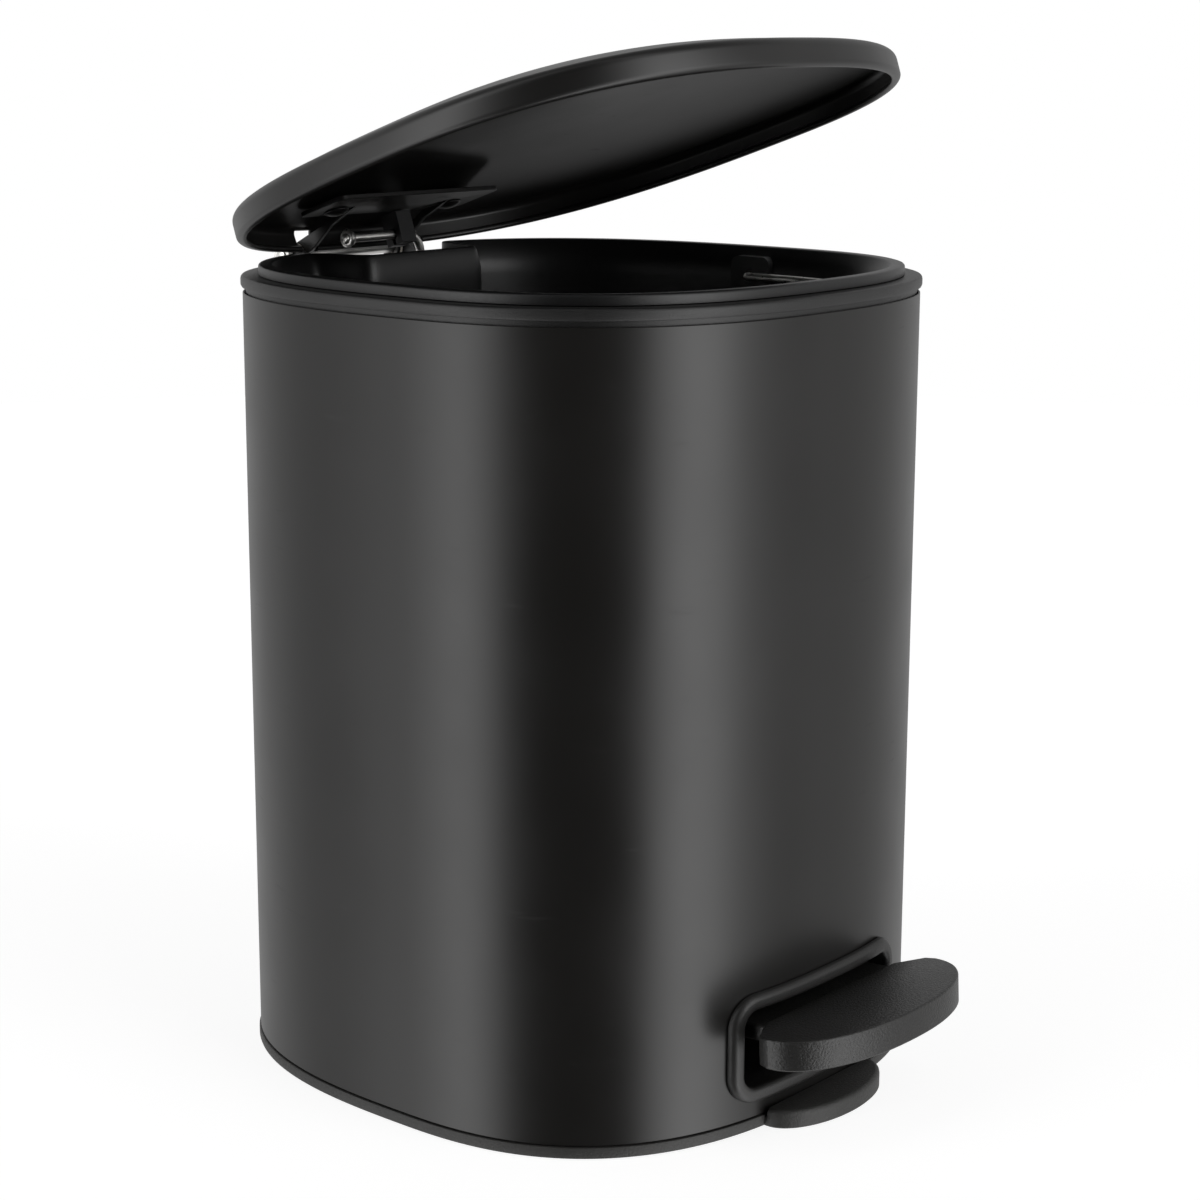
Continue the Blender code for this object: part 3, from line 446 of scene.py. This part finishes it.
def collar():
    """Collar: a rounded flange over the sheet, the bucket's ledge, a skirt and two hinge lugs."""
    edge = 0.6
    round_off = [(edge - 0.9, RING_BOTTOM), (edge - 0.3, RING_BOTTOM + 0.15), (edge, RING_BOTTOM + 0.8),
                 (edge, RING_TOP - 1.1), (edge - 0.12, RING_TOP - 0.55), (edge - 0.5, RING_TOP - 0.12),
                 (edge - 1.0, RING_TOP)]
    profile = round_off + [(LEDGE_OFFSET, RING_TOP), (LEDGE_OFFSET, RING_BOTTOM), (-3.0, RING_BOTTOM),
                           (-3.0, 240.0), (-2.7, 239.7), (-1.3, 239.7), (-1.0, 240.0), (-1.0, RING_BOTTOM)]
    thing = skin("collar", [plan_row(*spot) for spot in profile], RING_PLASTIC, wrap=True)
    boolean(thing, block("notch", (-24.2, 80, 250.9), (24.2, 103, 256)))
    boolean(thing, block("relief", (-24, 80, 238), (24, 99, 250.9)))
    for low, high in ((-LUG_OUTER_X, -LUG_INNER_X), (LUG_INNER_X, LUG_OUTER_X)):
        boolean(thing, prism("lug", lug_outline(), "X", low, high), "UNION")
    boolean(thing, rod("bore", PIN_RADIUS + GAP, "X", (0, HINGE_Y, HINGE_Z), -60, 60))
    smooth(thing.data)
    belongs(thing, "body", "black_plastic", "top_ring")


def toe_rows(reach_in, low, high):
    """Rows of the toe lip's plan, drawn in towards the top so that its edge is rounded."""
    front = WIDEST_Y - FRONT_DEPTH
    profile = [(0.5, low), (0.0, low + 0.5), (0.0, high - 1.6),
               (0.2, high - 0.8), (0.75, high - 0.22), (1.6, high)]
    steps = 64
    rows = []
    for inset, z in profile:
        half = LIP_HALF_WIDTH - inset
        row = []
        for i in range(steps + 1):
            angle = -pi * i / steps
            row.append((half * cos(angle), front - GAP + (LIP_REACH - GAP - inset) * sin(angle), z))
        row += [(-half, front - GAP + reach_in, z), (half, front - GAP + reach_in, z)]
        rows.append(row)
    return rows


def base():
    """Base: rim under the sheet, upstand inside it, floor, toe lip, axle posts and foot pockets."""
    rim = 0.5
    profile = [(-12, BASE_BOTTOM), (rim - 0.7, BASE_BOTTOM), (rim - 0.2, 0.4), (rim, 0.9), (rim, 3.3),
               (rim - 0.2, 3.75), (rim - 0.6, 3.9), (-1.0, 3.9), (-1.0, 12.2), (-1.3, 12.4), (-2.9, 12.4),
               (-3.2, 12.2), (-3.2, BASE_FLOOR)]
    thing = skin("base", [plan_row(*spot) for spot in profile], BASE_PLASTIC, caps=True)
    boolean(thing, skin("lip_root", toe_rows(6 + GAP, BASE_BOTTOM, BASE_FLOOR), caps=True), "UNION")
    boolean(thing, skin("lip", toe_rows(0, BASE_BOTTOM, LIP_TOP), caps=True), "UNION")
    eye, foot, foot_z = 6, 12, 3
    for low, high in ((-POST_OUTER_X, -POST_INNER_X), (POST_INNER_X, POST_OUTER_X)):
        outline = [(PIVOT_Y - foot, foot_z), (PIVOT_Y - eye, PIVOT_Z)]
        outline += arc((PIVOT_Y, PIVOT_Z), eye, 180, 0, 20)[1:-1]
        outline += [(PIVOT_Y + eye, PIVOT_Z), (PIVOT_Y + foot, foot_z)]
        boolean(thing, prism("post", outline, "X", low, high), "UNION")
    boolean(thing, rod("bore", AXLE_RADIUS + GAP, "X", (0, PIVOT_Y, PIVOT_Z), -30, 30))
    for x, y in FOOT_PLACES.values():
        boolean(thing, rod("pocket", FOOT_RADIUS + GAP, "Z", (x, y, 0), -1, 2.3))
    smooth(thing.data)
    belongs(thing, "body", "black_plastic", "base_tray")


def feet():
    for place, (x, y) in FOOT_PLACES.items():
        profile = [(3.5, 0.5), (4.0, 0.0), (7.2, 0.0), (7.8, 0.2), (8.0, 0.7), (8.0, 1.8), (7.8, 2.0)]
        foot = lathe("rubber_foot_" + place, profile, "Z", (x, y, 0), RUBBER)
        belongs(foot, "body", "foot_rubber", "foot_" + place)


def pedal_frame():
    """Frame round the pedal opening: a band with a rounded outer edge and a sleeve through the sheet."""
    band, stand = BEZEL_BAND, BEZEL_STAND
    inner, outer, back = 1.7, 1.9, -6.0
    section = [(0, back), (0, stand - outer)]
    section += [(inner - x, stand - inner + y) for x, y in arc((0, 0), inner, 0, 90, 7)]
    section += [(band - outer + x, stand - outer + y) for y, x in arc((0, 0), outer, 0, 90, 7)]
    section += [(band, 0.45), (band - 0.15, GAP), (BEZEL_SLEEVE, GAP), (BEZEL_SLEEVE, back)]
    rows = [[(x, front_y(x, offset), z) for x, z in slot_path(edge)] for edge, offset in section]
    thing = skin("pedal_frame", rows, FRAME_PLASTIC, wrap=True)
    belongs(thing, "body", "black_plastic", "pedal_bezel")


# ---- bucket -------------------------------------------------------------------------------------
BUCKET_POINTS = 420
CORNER_ROUNDING = 2.6


def bucket_plan(offset, shift):
    """The bucket's plan with its recess, its corners rounded, as evenly spaced points."""
    lean = (RECESS_MOUTH_X - RECESS_CORNER_X) / (RECESS_MOUTH_Y - RECESS_FRONT_Y)
    fine = 1440     # points before they are spaced evenly
    spots = []
    for i in range(fine):
        angle = -pi / 2 + 2 * pi * i / fine
        x, y = plan_point(angle, offset)
        side, up = abs(cos(angle)), sin(angle)
        if up > 0:
            reach = (RECESS_FRONT_Y + shift - WIDEST_Y) / up
            corner = RECESS_CORNER_X - shift * 0.6
            slack = side - lean * up
            if reach * side > corner:
                mouth = corner - lean * (RECESS_FRONT_Y + shift - WIDEST_Y)
                reach = mouth / slack if slack > 0 else 1e6
            if 0 < reach < hypot(x, y - WIDEST_Y):
                x = copysign(reach * side, cos(angle))
                y = WIDEST_Y + reach * up
        spots.append((x, y))
    lengths = [0.0]
    for a, b in zip(spots, spots[1:] + spots[:1]):
        lengths.append(lengths[-1] + hypot(b[0] - a[0], b[1] - a[1]))
    even = []
    k = 0
    for i in range(BUCKET_POINTS):
        want = lengths[-1] * i / BUCKET_POINTS
        while lengths[k + 1] < want:
            k += 1
        part = (want - lengths[k]) / (lengths[k + 1] - lengths[k])
        a, b = spots[k], spots[(k + 1) % fine]
        even.append((a[0] + (b[0] - a[0]) * part, a[1] + (b[1] - a[1]) * part))
    spread = CORNER_ROUNDING * BUCKET_POINTS / lengths[-1]
    reach = int(ceil(3 * spread))
    weights = [exp(-0.5 * (k / spread) ** 2) for k in range(-reach, reach + 1)]
    total = sum(weights)
    out = []
    for i in range(BUCKET_POINTS):
        near = [even[(i + k) % BUCKET_POINTS] for k in range(-reach, reach + 1)]
        out.append((sum(w * p[0] for w, p in zip(weights, near)) / total,
                    sum(w * p[1] for w, p in zip(weights, near)) / total))
    return out


def bucket_row(offset, z, shift):
    return [(x, y, z) for x, y in bucket_plan(offset, shift)]


def bucket():
    """Lift-out bucket: tapered wall, rounded rim on the collar, recess for the lift rod, bail pads."""
    rim, top, wall = RIM_OFFSET, RIM_TOP, BUCKET_WALL
    low = BUCKET_OFFSET - BUCKET_DRAFT
    floor = BUCKET_FLOOR
    foot, climb = floor + 4.4, top - 16 - floor
    inside = [(low - 9, floor, 0), (low - 3.4, floor + 0.4, 0), (low - 1.0, floor + 1.8, 0), (low, foot, 0)]
    inside += [(low + BUCKET_DRAFT * i / 6, foot + climb * i / 6, 0) for i in range(1, 7)]
    inside += [(BUCKET_OFFSET + 0.15, top - 9.2, 0.1), (BUCKET_OFFSET + 0.6, top - 7.0, 0.3),
               (BUCKET_OFFSET + 1.8, top - 3.4, 0.9), (rim - 5.3, top - 1.3, 1.5),
               (rim - 4.75, top - 0.5, 1.8), (rim - 4.4, top - 0.14, 2.0), (rim - 3.9, top, 2.2)]
    over = [(rim - 1.0, top, 3.3), (rim - 0.4, top - 0.16, 3.8), (rim - 0.08, top - 0.5, 4.0),
            (rim, top - 0.95, 4.0), (rim, RING_TOP + GAP, 4.0), (rim - 1.2, RING_TOP + GAP, 2.9),
            (rim - 1.4, top - wall - 0.2, 2.8), (rim - 4.6, top - wall - 0.3, 2.6),
            (rim - 5.9, RING_TOP + 0.7, 2.2), (rim - 6.2, RING_TOP - 0.9, 2.0), (rim - 7.1, top - 7.8, 1.6)]
    outside = [(BUCKET_OFFSET + wall, top - 12.0, wall)]
    outside += [(low + BUCKET_DRAFT * i / 6 + wall, foot + climb * i / 6, wall) for i in range(5, 0, -1)]
    outside += [(low + wall, floor + 4.0, wall), (low + 0.2, floor - 0.6, wall),
                (low - 4, floor - wall, wall), (low - 9, floor - wall, wall)]
    rows = [bucket_row(*spot) for spot in inside + over + outside]
    thing = skin("bucket", rows, BUCKET_PLASTIC, caps=True, sharp=50)
    face = HALF_WIDTH + BUCKET_OFFSET
    half, corner = 8.0, 3.0
    high = top - 3.0
    outline = arc((BAIL_Y + half - corner, high - corner), corner, 0, 90, 10)
    outline += arc((BAIL_Y - half + corner, high - corner), corner, 90, 180, 10)
    outline += [(BAIL_Y - half, BAIL_Z - 9), (BAIL_Y + half, BAIL_Z - 9)]
    for sign in (-1, 1):
        low_x, high_x = sorted((sign * (face - 1.4), sign * (face + 2.2)))
        boolean(thing, prism("pad", outline, "X", low_x, high_x), "UNION")
        low_x, high_x = sorted((sign * (face - 7), sign * (face + 7)))
        boolean(thing, rod("hole", WIRE_RADIUS + GAP, "X", (0, BAIL_Y, BAIL_Z), low_x, high_x))
    smooth(thing.data, 42)
    belongs(thing, "body", "bucket_plastic", "inner_bucket")


def bail():
    """Wire bail: its ends turn out through the pads, its loop lies level round the front."""
    side_x = HALF_WIDTH + BAIL_OFFSET
    bend = 2.5
    half = [(HALF_WIDTH + BUCKET_OFFSET + 4.2, BAIL_Y), (side_x + bend + 1.2, BAIL_Y)]
    turns = [radians(15 * i) for i in range(7)]
    half += [(side_x + bend - bend * sin(a), BAIL_Y - bend + bend * cos(a)) for a in turns]
    first, pitch = 8, 1.367     # degrees round the plan, from the side to the middle of the front
    angles = [radians(-(first + pitch * i)) for i in range(61)]
    half += [plan_point(angle, BAIL_OFFSET) for angle in angles]
    path = half[:-1] + [(-x, y) for x, y in reversed(half[:-1])]
    thing = wire("bail_wire", [(x, y, BAIL_Z) for x, y in path], WIRE_RADIUS, ZINC)
    belongs(thing, "bail", "plated_steel", "bucket_bail")


# ---- hinge and axle hardware --------------------------------------------------------------------
def washer(name, inner, outer, low, high, y, z, look):
    edge = min(0.25, (high - low) / 4)
    profile = [(inner, low), (outer - edge, low), (outer, low + edge),
               (outer, high - edge), (outer - edge, high), (inner, high)]
    return lathe(name, profile, "X", (0, y, z), look, caps=False, wrap=True)


def pin(name, radius, half, y, z):
    profile = [(radius - 0.5, -half), (radius - 0.12, -half + 0.15), (radius, -half + 0.5),
               (radius, half - 0.5), (radius - 0.12, half - 0.15), (radius - 0.5, half)]
    return lathe(name, profile, "X", (0, y, z), ZINC)


def hardware():
    """The hinge's pin and the pedal's axle, with the caps, washers, rings and sleeves on their ends."""
    hinge, axle = (HINGE_Y, HINGE_Z), (PIVOT_Y, PIVOT_Z)
    belongs(pin("hinge_rod", PIN_RADIUS, PIN_HALF, *hinge), "body", "plated_steel", "hinge_pin")
    belongs(pin("axle_rod", AXLE_RADIUS, AXLE_HALF, *axle), "body", "plated_steel", "pedal_axle")
    metal, nylon = (ZINC, "plated_steel"), (NYLON, "nylon")
    sleeve = (15.0 + GAP, POST_INNER_X - GAP)
    rounds = (("hinge_cap_", 3.8, (LUG_OUTER_X + GAP, PIN_HALF - 0.6), hinge, metal, "hinge_pin_nut_"),
              ("ear_washer_", 3.9, (EAR_OUTER_X + GAP, LUG_INNER_X - GAP), hinge, nylon, "hinge_washer_"),
              ("axle_ring_", 4.5, (POST_OUTER_X + GAP, 23.2), axle, metal, "axle_clip_"),
              ("axle_sleeve_", 4.0, sleeve, axle, nylon, "axle_bush_"))
    for side, sign in (("left", -1), ("right", 1)):
        for name, outer, reach, (y, z), (look, slot), node in rounds:
            low, high = sorted(sign * x for x in reach)
            thing = washer(name + side, 2.0 + GAP, outer, low, high, y, z, look)
            belongs(thing, "body", slot, node + side)


# ---- lid ----------------------------------------------------------------------------------------
def lid_face(depth):
    low = LID_EDGE + LID_CURL + LID_SKIRT
    edge = LID_BULGE - LID_SHOULDER
    reach = LID_SHOULDER - depth
    rise = LID_SHOULDER_RISE - depth
    face = [(edge + reach * cos(a), low + rise * sin(a), 1.0) for a in [radians(7.5 * i) for i in range(13)]]
    for i in range(1, 25):
        scale = 1 - 0.985 * (i / 24) ** 1.25
        face.append((edge, low + rise + LID_DOME_RISE * (1 - scale ** LID_DOME_POWER), scale))
    return face


def lid_cover():
    """Drawn steel lid: hem curled in under the skirt, rounded shoulder, low dome."""
    curl = [(LID_TUCK + (LID_BULGE - LID_TUCK) * sin(a), LID_EDGE + LID_CURL * (1 - cos(a)), 1.0)
            for a in [radians(7.5 * i) for i in range(13)]]
    hem = [(LID_TUCK - 0.4, LID_EDGE + 0.12, 1.0), (LID_TUCK - 0.75, LID_EDGE + 0.45, 1.0),
           (LID_TUCK - 0.9, LID_EDGE + 1.0, 1.0), (LID_TUCK - 0.8, LID_EDGE + 1.5, 1.0),
           (LID_TUCK - 0.4, LID_EDGE + 1.95, 1.0), (LID_BULGE - 1.1, LID_EDGE + 2.4, 1.0)]
    rows = lid_face(0)[::-1] + curl[::-1] + hem + lid_face(LID_SHEET)
    thing = skin("lid_cover", [plan_row(*row) for row in rows], LID_PAINT, caps=True)
    for low, high in ((-SLIT_OUTER_X, -SLIT_INNER_X), (SLIT_INNER_X, SLIT_OUTER_X)):
        boolean(thing, block("slit", (low, 88, 250), (high, 104, 262.6)))
    smooth(thing.data)
    turn(thing, HINGE_Y, HINGE_Z, -LID_REST_OPEN)
    belongs(thing, "lid", "lid_paint", "lid_shell")


def round_box(low, high, corner, steps=6):
    """A rounded rectangle in plan."""
    (x0, y0), (x1, y1) = low, high
    path = arc((x1 - corner, y1 - corner), corner, 0, 90, steps)
    path += arc((x0 + corner, y1 - corner), corner, 90, 180, steps)
    path += arc((x0 + corner, y0 + corner), corner, 180, 270, steps)
    path += arc((x1 - corner, y0 + corner), corner, 270, 360, steps)
    return path


def hinge_plate():
    """Pressed plate under the lid with two ears that reach back to the pin, and its two rivets."""
    thing = prism("hinge_plate", round_box((-38, 63), (38, 85), 3.0), "Z", PLATE_LOW, PLATE_HIGH)
    thing.data.materials.append(LID_PAINT)
    eye = arc((HINGE_Y, HINGE_Z), EYE_RADIUS - GAP, 90, -165, 30)
    outline = [(70, 264.4), (85, 264.4), (90, 262.1)] + eye + [(98.0, 255.5), (86, 261.0)]
    for low, high in ((-EAR_OUTER_X, -EAR_INNER_X), (EAR_INNER_X, EAR_OUTER_X)):
        boolean(thing, prism("ear", outline, "X", low, high), "UNION")
    boolean(thing, rod("bore", PIN_RADIUS + GAP, "X", (0, HINGE_Y, HINGE_Z), -45, 45))
    for x in (-RIVET_X, RIVET_X):
        boolean(thing, rod("hole", RIVET_HOLE, "Z", (x, RIVET_Y, 0), PLATE_LOW - 3, PLATE_HIGH + 3))
    soften(thing, 0.25, 2)
    turn(thing, HINGE_Y, HINGE_Z, -LID_REST_OPEN)
    belongs(thing, "lid", "lid_paint", "lid_hinge_bracket")
    head = [(0.3, 261.85), (1.4, 261.95), (2.6, 262.25), (3.6, 262.7), (4.1, 263.1), (4.2, 263.4),
            (1.8, 263.4), (1.8, 265.9)]
    for side, x in (("left", -RIVET_X), ("right", RIVET_X)):
        rivet = lathe("rivet_" + side, head, "Z", (x, RIVET_Y, 0), LID_PAINT)
        turn(rivet, HINGE_Y, HINGE_Z, -LID_REST_OPEN)
        belongs(rivet, "lid", "lid_paint", "lid_rivet_" + side)


def clip_block():
    """Plastic block with the rod's hole, a split below it, and chamfered edges."""
    y, z = HINGE_Y - ROD_REACH, HINGE_Z + ROD_SHUT_RISE
    low, high = (5.5, y - 4.0, z - 3.6), (12.5, y + 3.6, PLATE_LOW - GAP)
    thing = block("clip_block", low, high)
    thing.data.materials.append(CLIP_PLASTIC)
    boolean(thing, rod("hole", WIRE_RADIUS + GAP, "X", (0, y, z), 0, 20))
    boolean(thing, block("split", (4, y - 0.6, z - 5), (14, y + 0.6, z - 0.5)))
    soften(thing, 0.35)
    turn(thing, HINGE_Y, HINGE_Z, -LID_REST_OPEN)
    belongs(thing, "lid", "black_plastic", "lift_clip")


# ---- lift rod -----------------------------------------------------------------------------------
def lift_wire():
    """Bent wire that hangs from the clip down to the lever, and the cap on its upper end."""
    turned = radians(LID_REST_OPEN)
    top_y = HINGE_Y - ROD_REACH * cos(turned) + ROD_SHUT_RISE * sin(turned)
    top_z = HINGE_Z + ROD_REACH * sin(turned) + ROD_SHUT_RISE * cos(turned)
    lever = radians(PEDAL_REST_UP)
    hook_y = PIVOT_Y + LEVER_ARM * cos(lever) + HOOK_RISE * sin(lever)
    hook_z = PIVOT_Z - LEVER_ARM * sin(lever) + HOOK_RISE * cos(lever)
    length = top_z - hook_z
    slant = hook_y - top_y
    path = [(ROD_END_X, 0.0), (ROD_END_X + 6, 0.0), (0.0, 0.0)]
    path += arc((ROD_SIDE_X - ROD_BEND, -ROD_BEND), ROD_BEND, 90, 0, 14)
    path += arc((ROD_SIDE_X - ROD_BEND, ROD_BEND - length), ROD_BEND, 0, -90, 14)
    path.append((ROD_HOOK_X, -length))
    spots = [(x, top_y - slant * drop / length, top_z + drop) for x, drop in path]
    belongs(wire("lift_wire", spots, WIRE_RADIUS, ZINC), "lift_rod", "plated_steel", "lift_rod")
    profile = [(1.8, -16.8), (2.5, -16.8), (3.0, -16.5), (3.0, -15.6),
               (2.7, -15.2), (2.3, -14.2), (1.8, -14.2)]
    cap = lathe("wire_cap", profile, "X", (0, top_y, top_z), ZINC, sides=36, caps=False, wrap=True)
    belongs(cap, "lift_rod", "plated_steel", "rod_push_nut")


# ---- pedal --------------------------------------------------------------------------------------
def pedal_plan(inset, z, steps=96):
    half = PEDAL_HALF_WIDTH - inset
    reach = PEDAL_REACH - inset
    front = []
    for i in range(steps + 1):
        angle = -pi * (i / steps)
        x = copysign(abs(cos(angle)) ** (2 / PEDAL_POWER), cos(angle)) * half
        y = -(abs(sin(angle)) ** (2 / PEDAL_POWER)) * reach
        front.append((x, PEDAL_WIDEST_Y + y, z))
    shoulder = (half - 1.3, PEDAL_WIDEST_Y + 3.5 - inset)
    neck = (NECK_HALF_WIDTH - inset, PEDAL_BACK_Y - inset)
    return [(*neck, z), (*shoulder, z)] + front + [(-shoulder[0], shoulder[1], z), (-neck[0], neck[1], z)]


def pedal_plate():
    """Foot plate: satin skirt, thin rounded top edge, hollow below, neck through the frame."""
    low, top = PEDAL_TOP - PEDAL_SKIRT, PEDAL_TOP
    outer = [(0.35, low), (0.0, low + 0.4), (0.0, top - 0.75), (0.07, top - 0.42),
             (0.22, top - 0.19), (0.46, top - 0.05), (0.8, top)]
    thing = skin("pedal_plate", [pedal_plan(*spot) for spot in outer], PEDAL_PLASTIC, caps=True)
    wall, roof = 2.0, 2.6
    boolean(thing, skin("hollow", [pedal_plan(wall, low - 2), pedal_plan(wall, top - roof)], caps=True))
    outline = round_box((-NECK_HALF_WIDTH, NECK_BOTTOM), (NECK_HALF_WIDTH, NECK_TOP), 1.2)
    boolean(thing, prism("neck", outline, "Y", -107.5, -86), "UNION")
    boolean(thing, block("path", (-15.4, -108.5, 20), (15.4, -84, NECK_BOTTOM)))
    boolean(thing, rod("boss", 4.5, "Z", (0, SCREW_PLACES[1], 0), NECK_BOTTOM, 31), "UNION")
    for y in SCREW_PLACES:
        boolean(thing, rod("hole", 1.8, "Z", (0, y, 0), 26, 30.6))
    smooth(thing.data)
    turn(thing, PIVOT_Y, PIVOT_Z, -PEDAL_REST_UP)
    belongs(thing, "pedal", "black_plastic", "pedal_cover")


def lever():
    """The lever is the CAD's mesh with rounded edges; its two screws are drawn."""
    source = NODES["pedal_lever"]
    thing = bpy.data.objects.new("lever_channel", source.data.copy())
    bpy.context.scene.collection.objects.link(thing)
    thing.data.materials.clear()
    thing.data.materials.append(SHEET)
    soften(thing, 0.3, 2)
    belongs(thing, "pedal", "sheet_steel", "pedal_lever")
    head = [(1.1, 23.1), (1.2, 22.1), (2.4, 22.1), (3.2, 22.4),
            (3.6, 23.0), (3.6, 23.6), (1.5, 23.6), (1.5, 30.2)]
    for number, y in enumerate(SCREW_PLACES, start=1):
        screw = lathe("pedal_screw_head_%d" % number, head, "Z", (0, y, 0), ZINC, sides=36)
        turn(screw, PIVOT_Y, PIVOT_Z, -PEDAL_REST_UP)
        belongs(screw, "pedal", "plated_steel", "pedal_screw_%d" % number)


# ---- stage --------------------------------------------------------------------------------------
CAMERA_PLACE = Vector((-0.64269, -0.53515, 0.33115))
CAMERA_TURN = (77.7504, -0.1897, -49.9588)
CAMERA_LENS = 79.04
FLOOR_RADIUS = 1.6
FLOOR_WHITE = 0.86
WALL_PEAK = 4.0     # the light that the ramp's white stands for
WALL_TOP, SKY_START, SKY_SHARE = 0.35, 0.85, 0.35   # the walls fade upwards to a dimmer sky
# the light of the studio's walls by bearing in degrees, 0 along +X
WALL_LIGHT = ((-180, 0.30), (-166, 0.02), (-120, 0.02), (-110, 0.30), (-98, 2.2), (-86, 3.4), (-74, 2.8),
              (-60, 1.0), (-44, 0.42), (-30, 0.50), (-5, 0.60), (20, 0.50), (60, 0.50), (80, 0.62),
              (100, 0.66), (118, 0.52), (132, 0.65), (146, 2.0), (157, 2.9), (168, 1.8), (180, 0.30))


def studio():
    """Camera, floor and backdrop."""
    scene = bpy.context.scene
    camera = bpy.data.objects.new("camera", bpy.data.cameras.new("camera"))
    scene.collection.objects.link(camera)
    camera.location = CAMERA_PLACE
    camera.rotation_euler = [radians(part) for part in CAMERA_TURN]
    camera.data.lens = CAMERA_LENS
    camera.data.sensor_width = 36
    scene.camera = camera
    scene.view_settings.view_transform = "Standard"

    bm = bmesh.new()
    bmesh.ops.create_circle(bm, cap_ends=True, segments=96, radius=FLOOR_RADIUS)
    data = bpy.data.meshes.new("floor")
    bm.to_mesh(data)
    bm.free()
    floor = bpy.data.objects.new("floor", data)
    scene.collection.objects.link(floor)
    look = Nodes("floor_white", (0.30, 0.30, 0.30), 0.9)
    look.shader.inputs["Emission Color"].default_value = (1, 1, 1, 1)
    look.shader.inputs["Emission Strength"].default_value = FLOOR_WHITE
    data.materials.append(look.material)
    # the object neither mirrors the floor nor gets its light, so the walls' bands reach the body's foot
    floor.visible_glossy = False
    floor.visible_diffuse = False
    floor.visible_shadow = False
    studio_light(scene)


def studio_light(scene):
    """Soft walls of light round the object with a dark gap between them; the camera sees plain white."""
    world = bpy.data.worlds.new("studio")
    scene.world = world
    world.use_nodes = True
    tree = world.node_tree
    join = tree.links.new

    def step(kind, operation, *values):
        made = tree.nodes.new(kind)
        made.operation = operation
        for slot, value in enumerate(values):
            if isinstance(value, (int, float)):
                made.inputs[slot].default_value = value
            else:
                join(value, made.inputs[slot])
        return made.outputs[0]

    way = tree.nodes.new("ShaderNodeSeparateXYZ")
    join(tree.nodes.new("ShaderNodeTexCoord").outputs["Generated"], way.inputs[0])
    bearing = step("ShaderNodeMath", "ARCTAN2", way.outputs["Y"], way.outputs["X"])
    part = step("ShaderNodeMath", "MULTIPLY_ADD", bearing, 1 / (2 * pi), 0.5)
    walls = tree.nodes.new("ShaderNodeValToRGB")
    walls.color_ramp.interpolation = "EASE"
    stops = walls.color_ramp.elements
    stops.remove(stops[1])
    for index, (degrees, level) in enumerate(WALL_LIGHT):
        stop = stops.new(degrees / 360 + 0.5) if index else stops[0]
        stop.color = (level / WALL_PEAK,) * 3 + (1,)
    join(part, walls.inputs["Fac"])
    height = tree.nodes.new("ShaderNodeMapRange")
    height.interpolation_type = "SMOOTHSTEP"
    limits = (("From Min", WALL_TOP), ("From Max", SKY_START), ("To Min", 1.0), ("To Max", SKY_SHARE))
    for name, value in limits:
        height.inputs[name].default_value = value
    join(way.outputs["Z"], height.inputs["Value"])
    grey = tree.nodes.new("ShaderNodeRGBToBW")
    join(walls.outputs["Color"], grey.inputs[0])
    share = step("ShaderNodeMath", "MULTIPLY", grey.outputs[0], height.outputs["Result"])
    light = step("ShaderNodeMath", "MULTIPLY", share, WALL_PEAK)
    ray = tree.nodes.new("ShaderNodeLightPath").outputs["Is Camera Ray"]
    lifted = step("ShaderNodeMath", "MAXIMUM", light, ray)
    shown = step("ShaderNodeMath", "MINIMUM", lifted, 1.0)
    mix = tree.nodes.new("ShaderNodeMix")
    join(ray, mix.inputs[0])
    join(lifted, mix.inputs[2])
    join(shown, mix.inputs[3])
    background = tree.nodes["Background"]
    background.inputs["Color"].default_value = (1, 1, 1, 1)
    join(mix.outputs[0], background.inputs["Strength"])


body_sheet()
collar()
base()
feet()
pedal_frame()
bucket()
bail()
hardware()
lid_cover()
hinge_plate()
clip_block()
lift_wire()
pedal_plate()
lever()
studio()
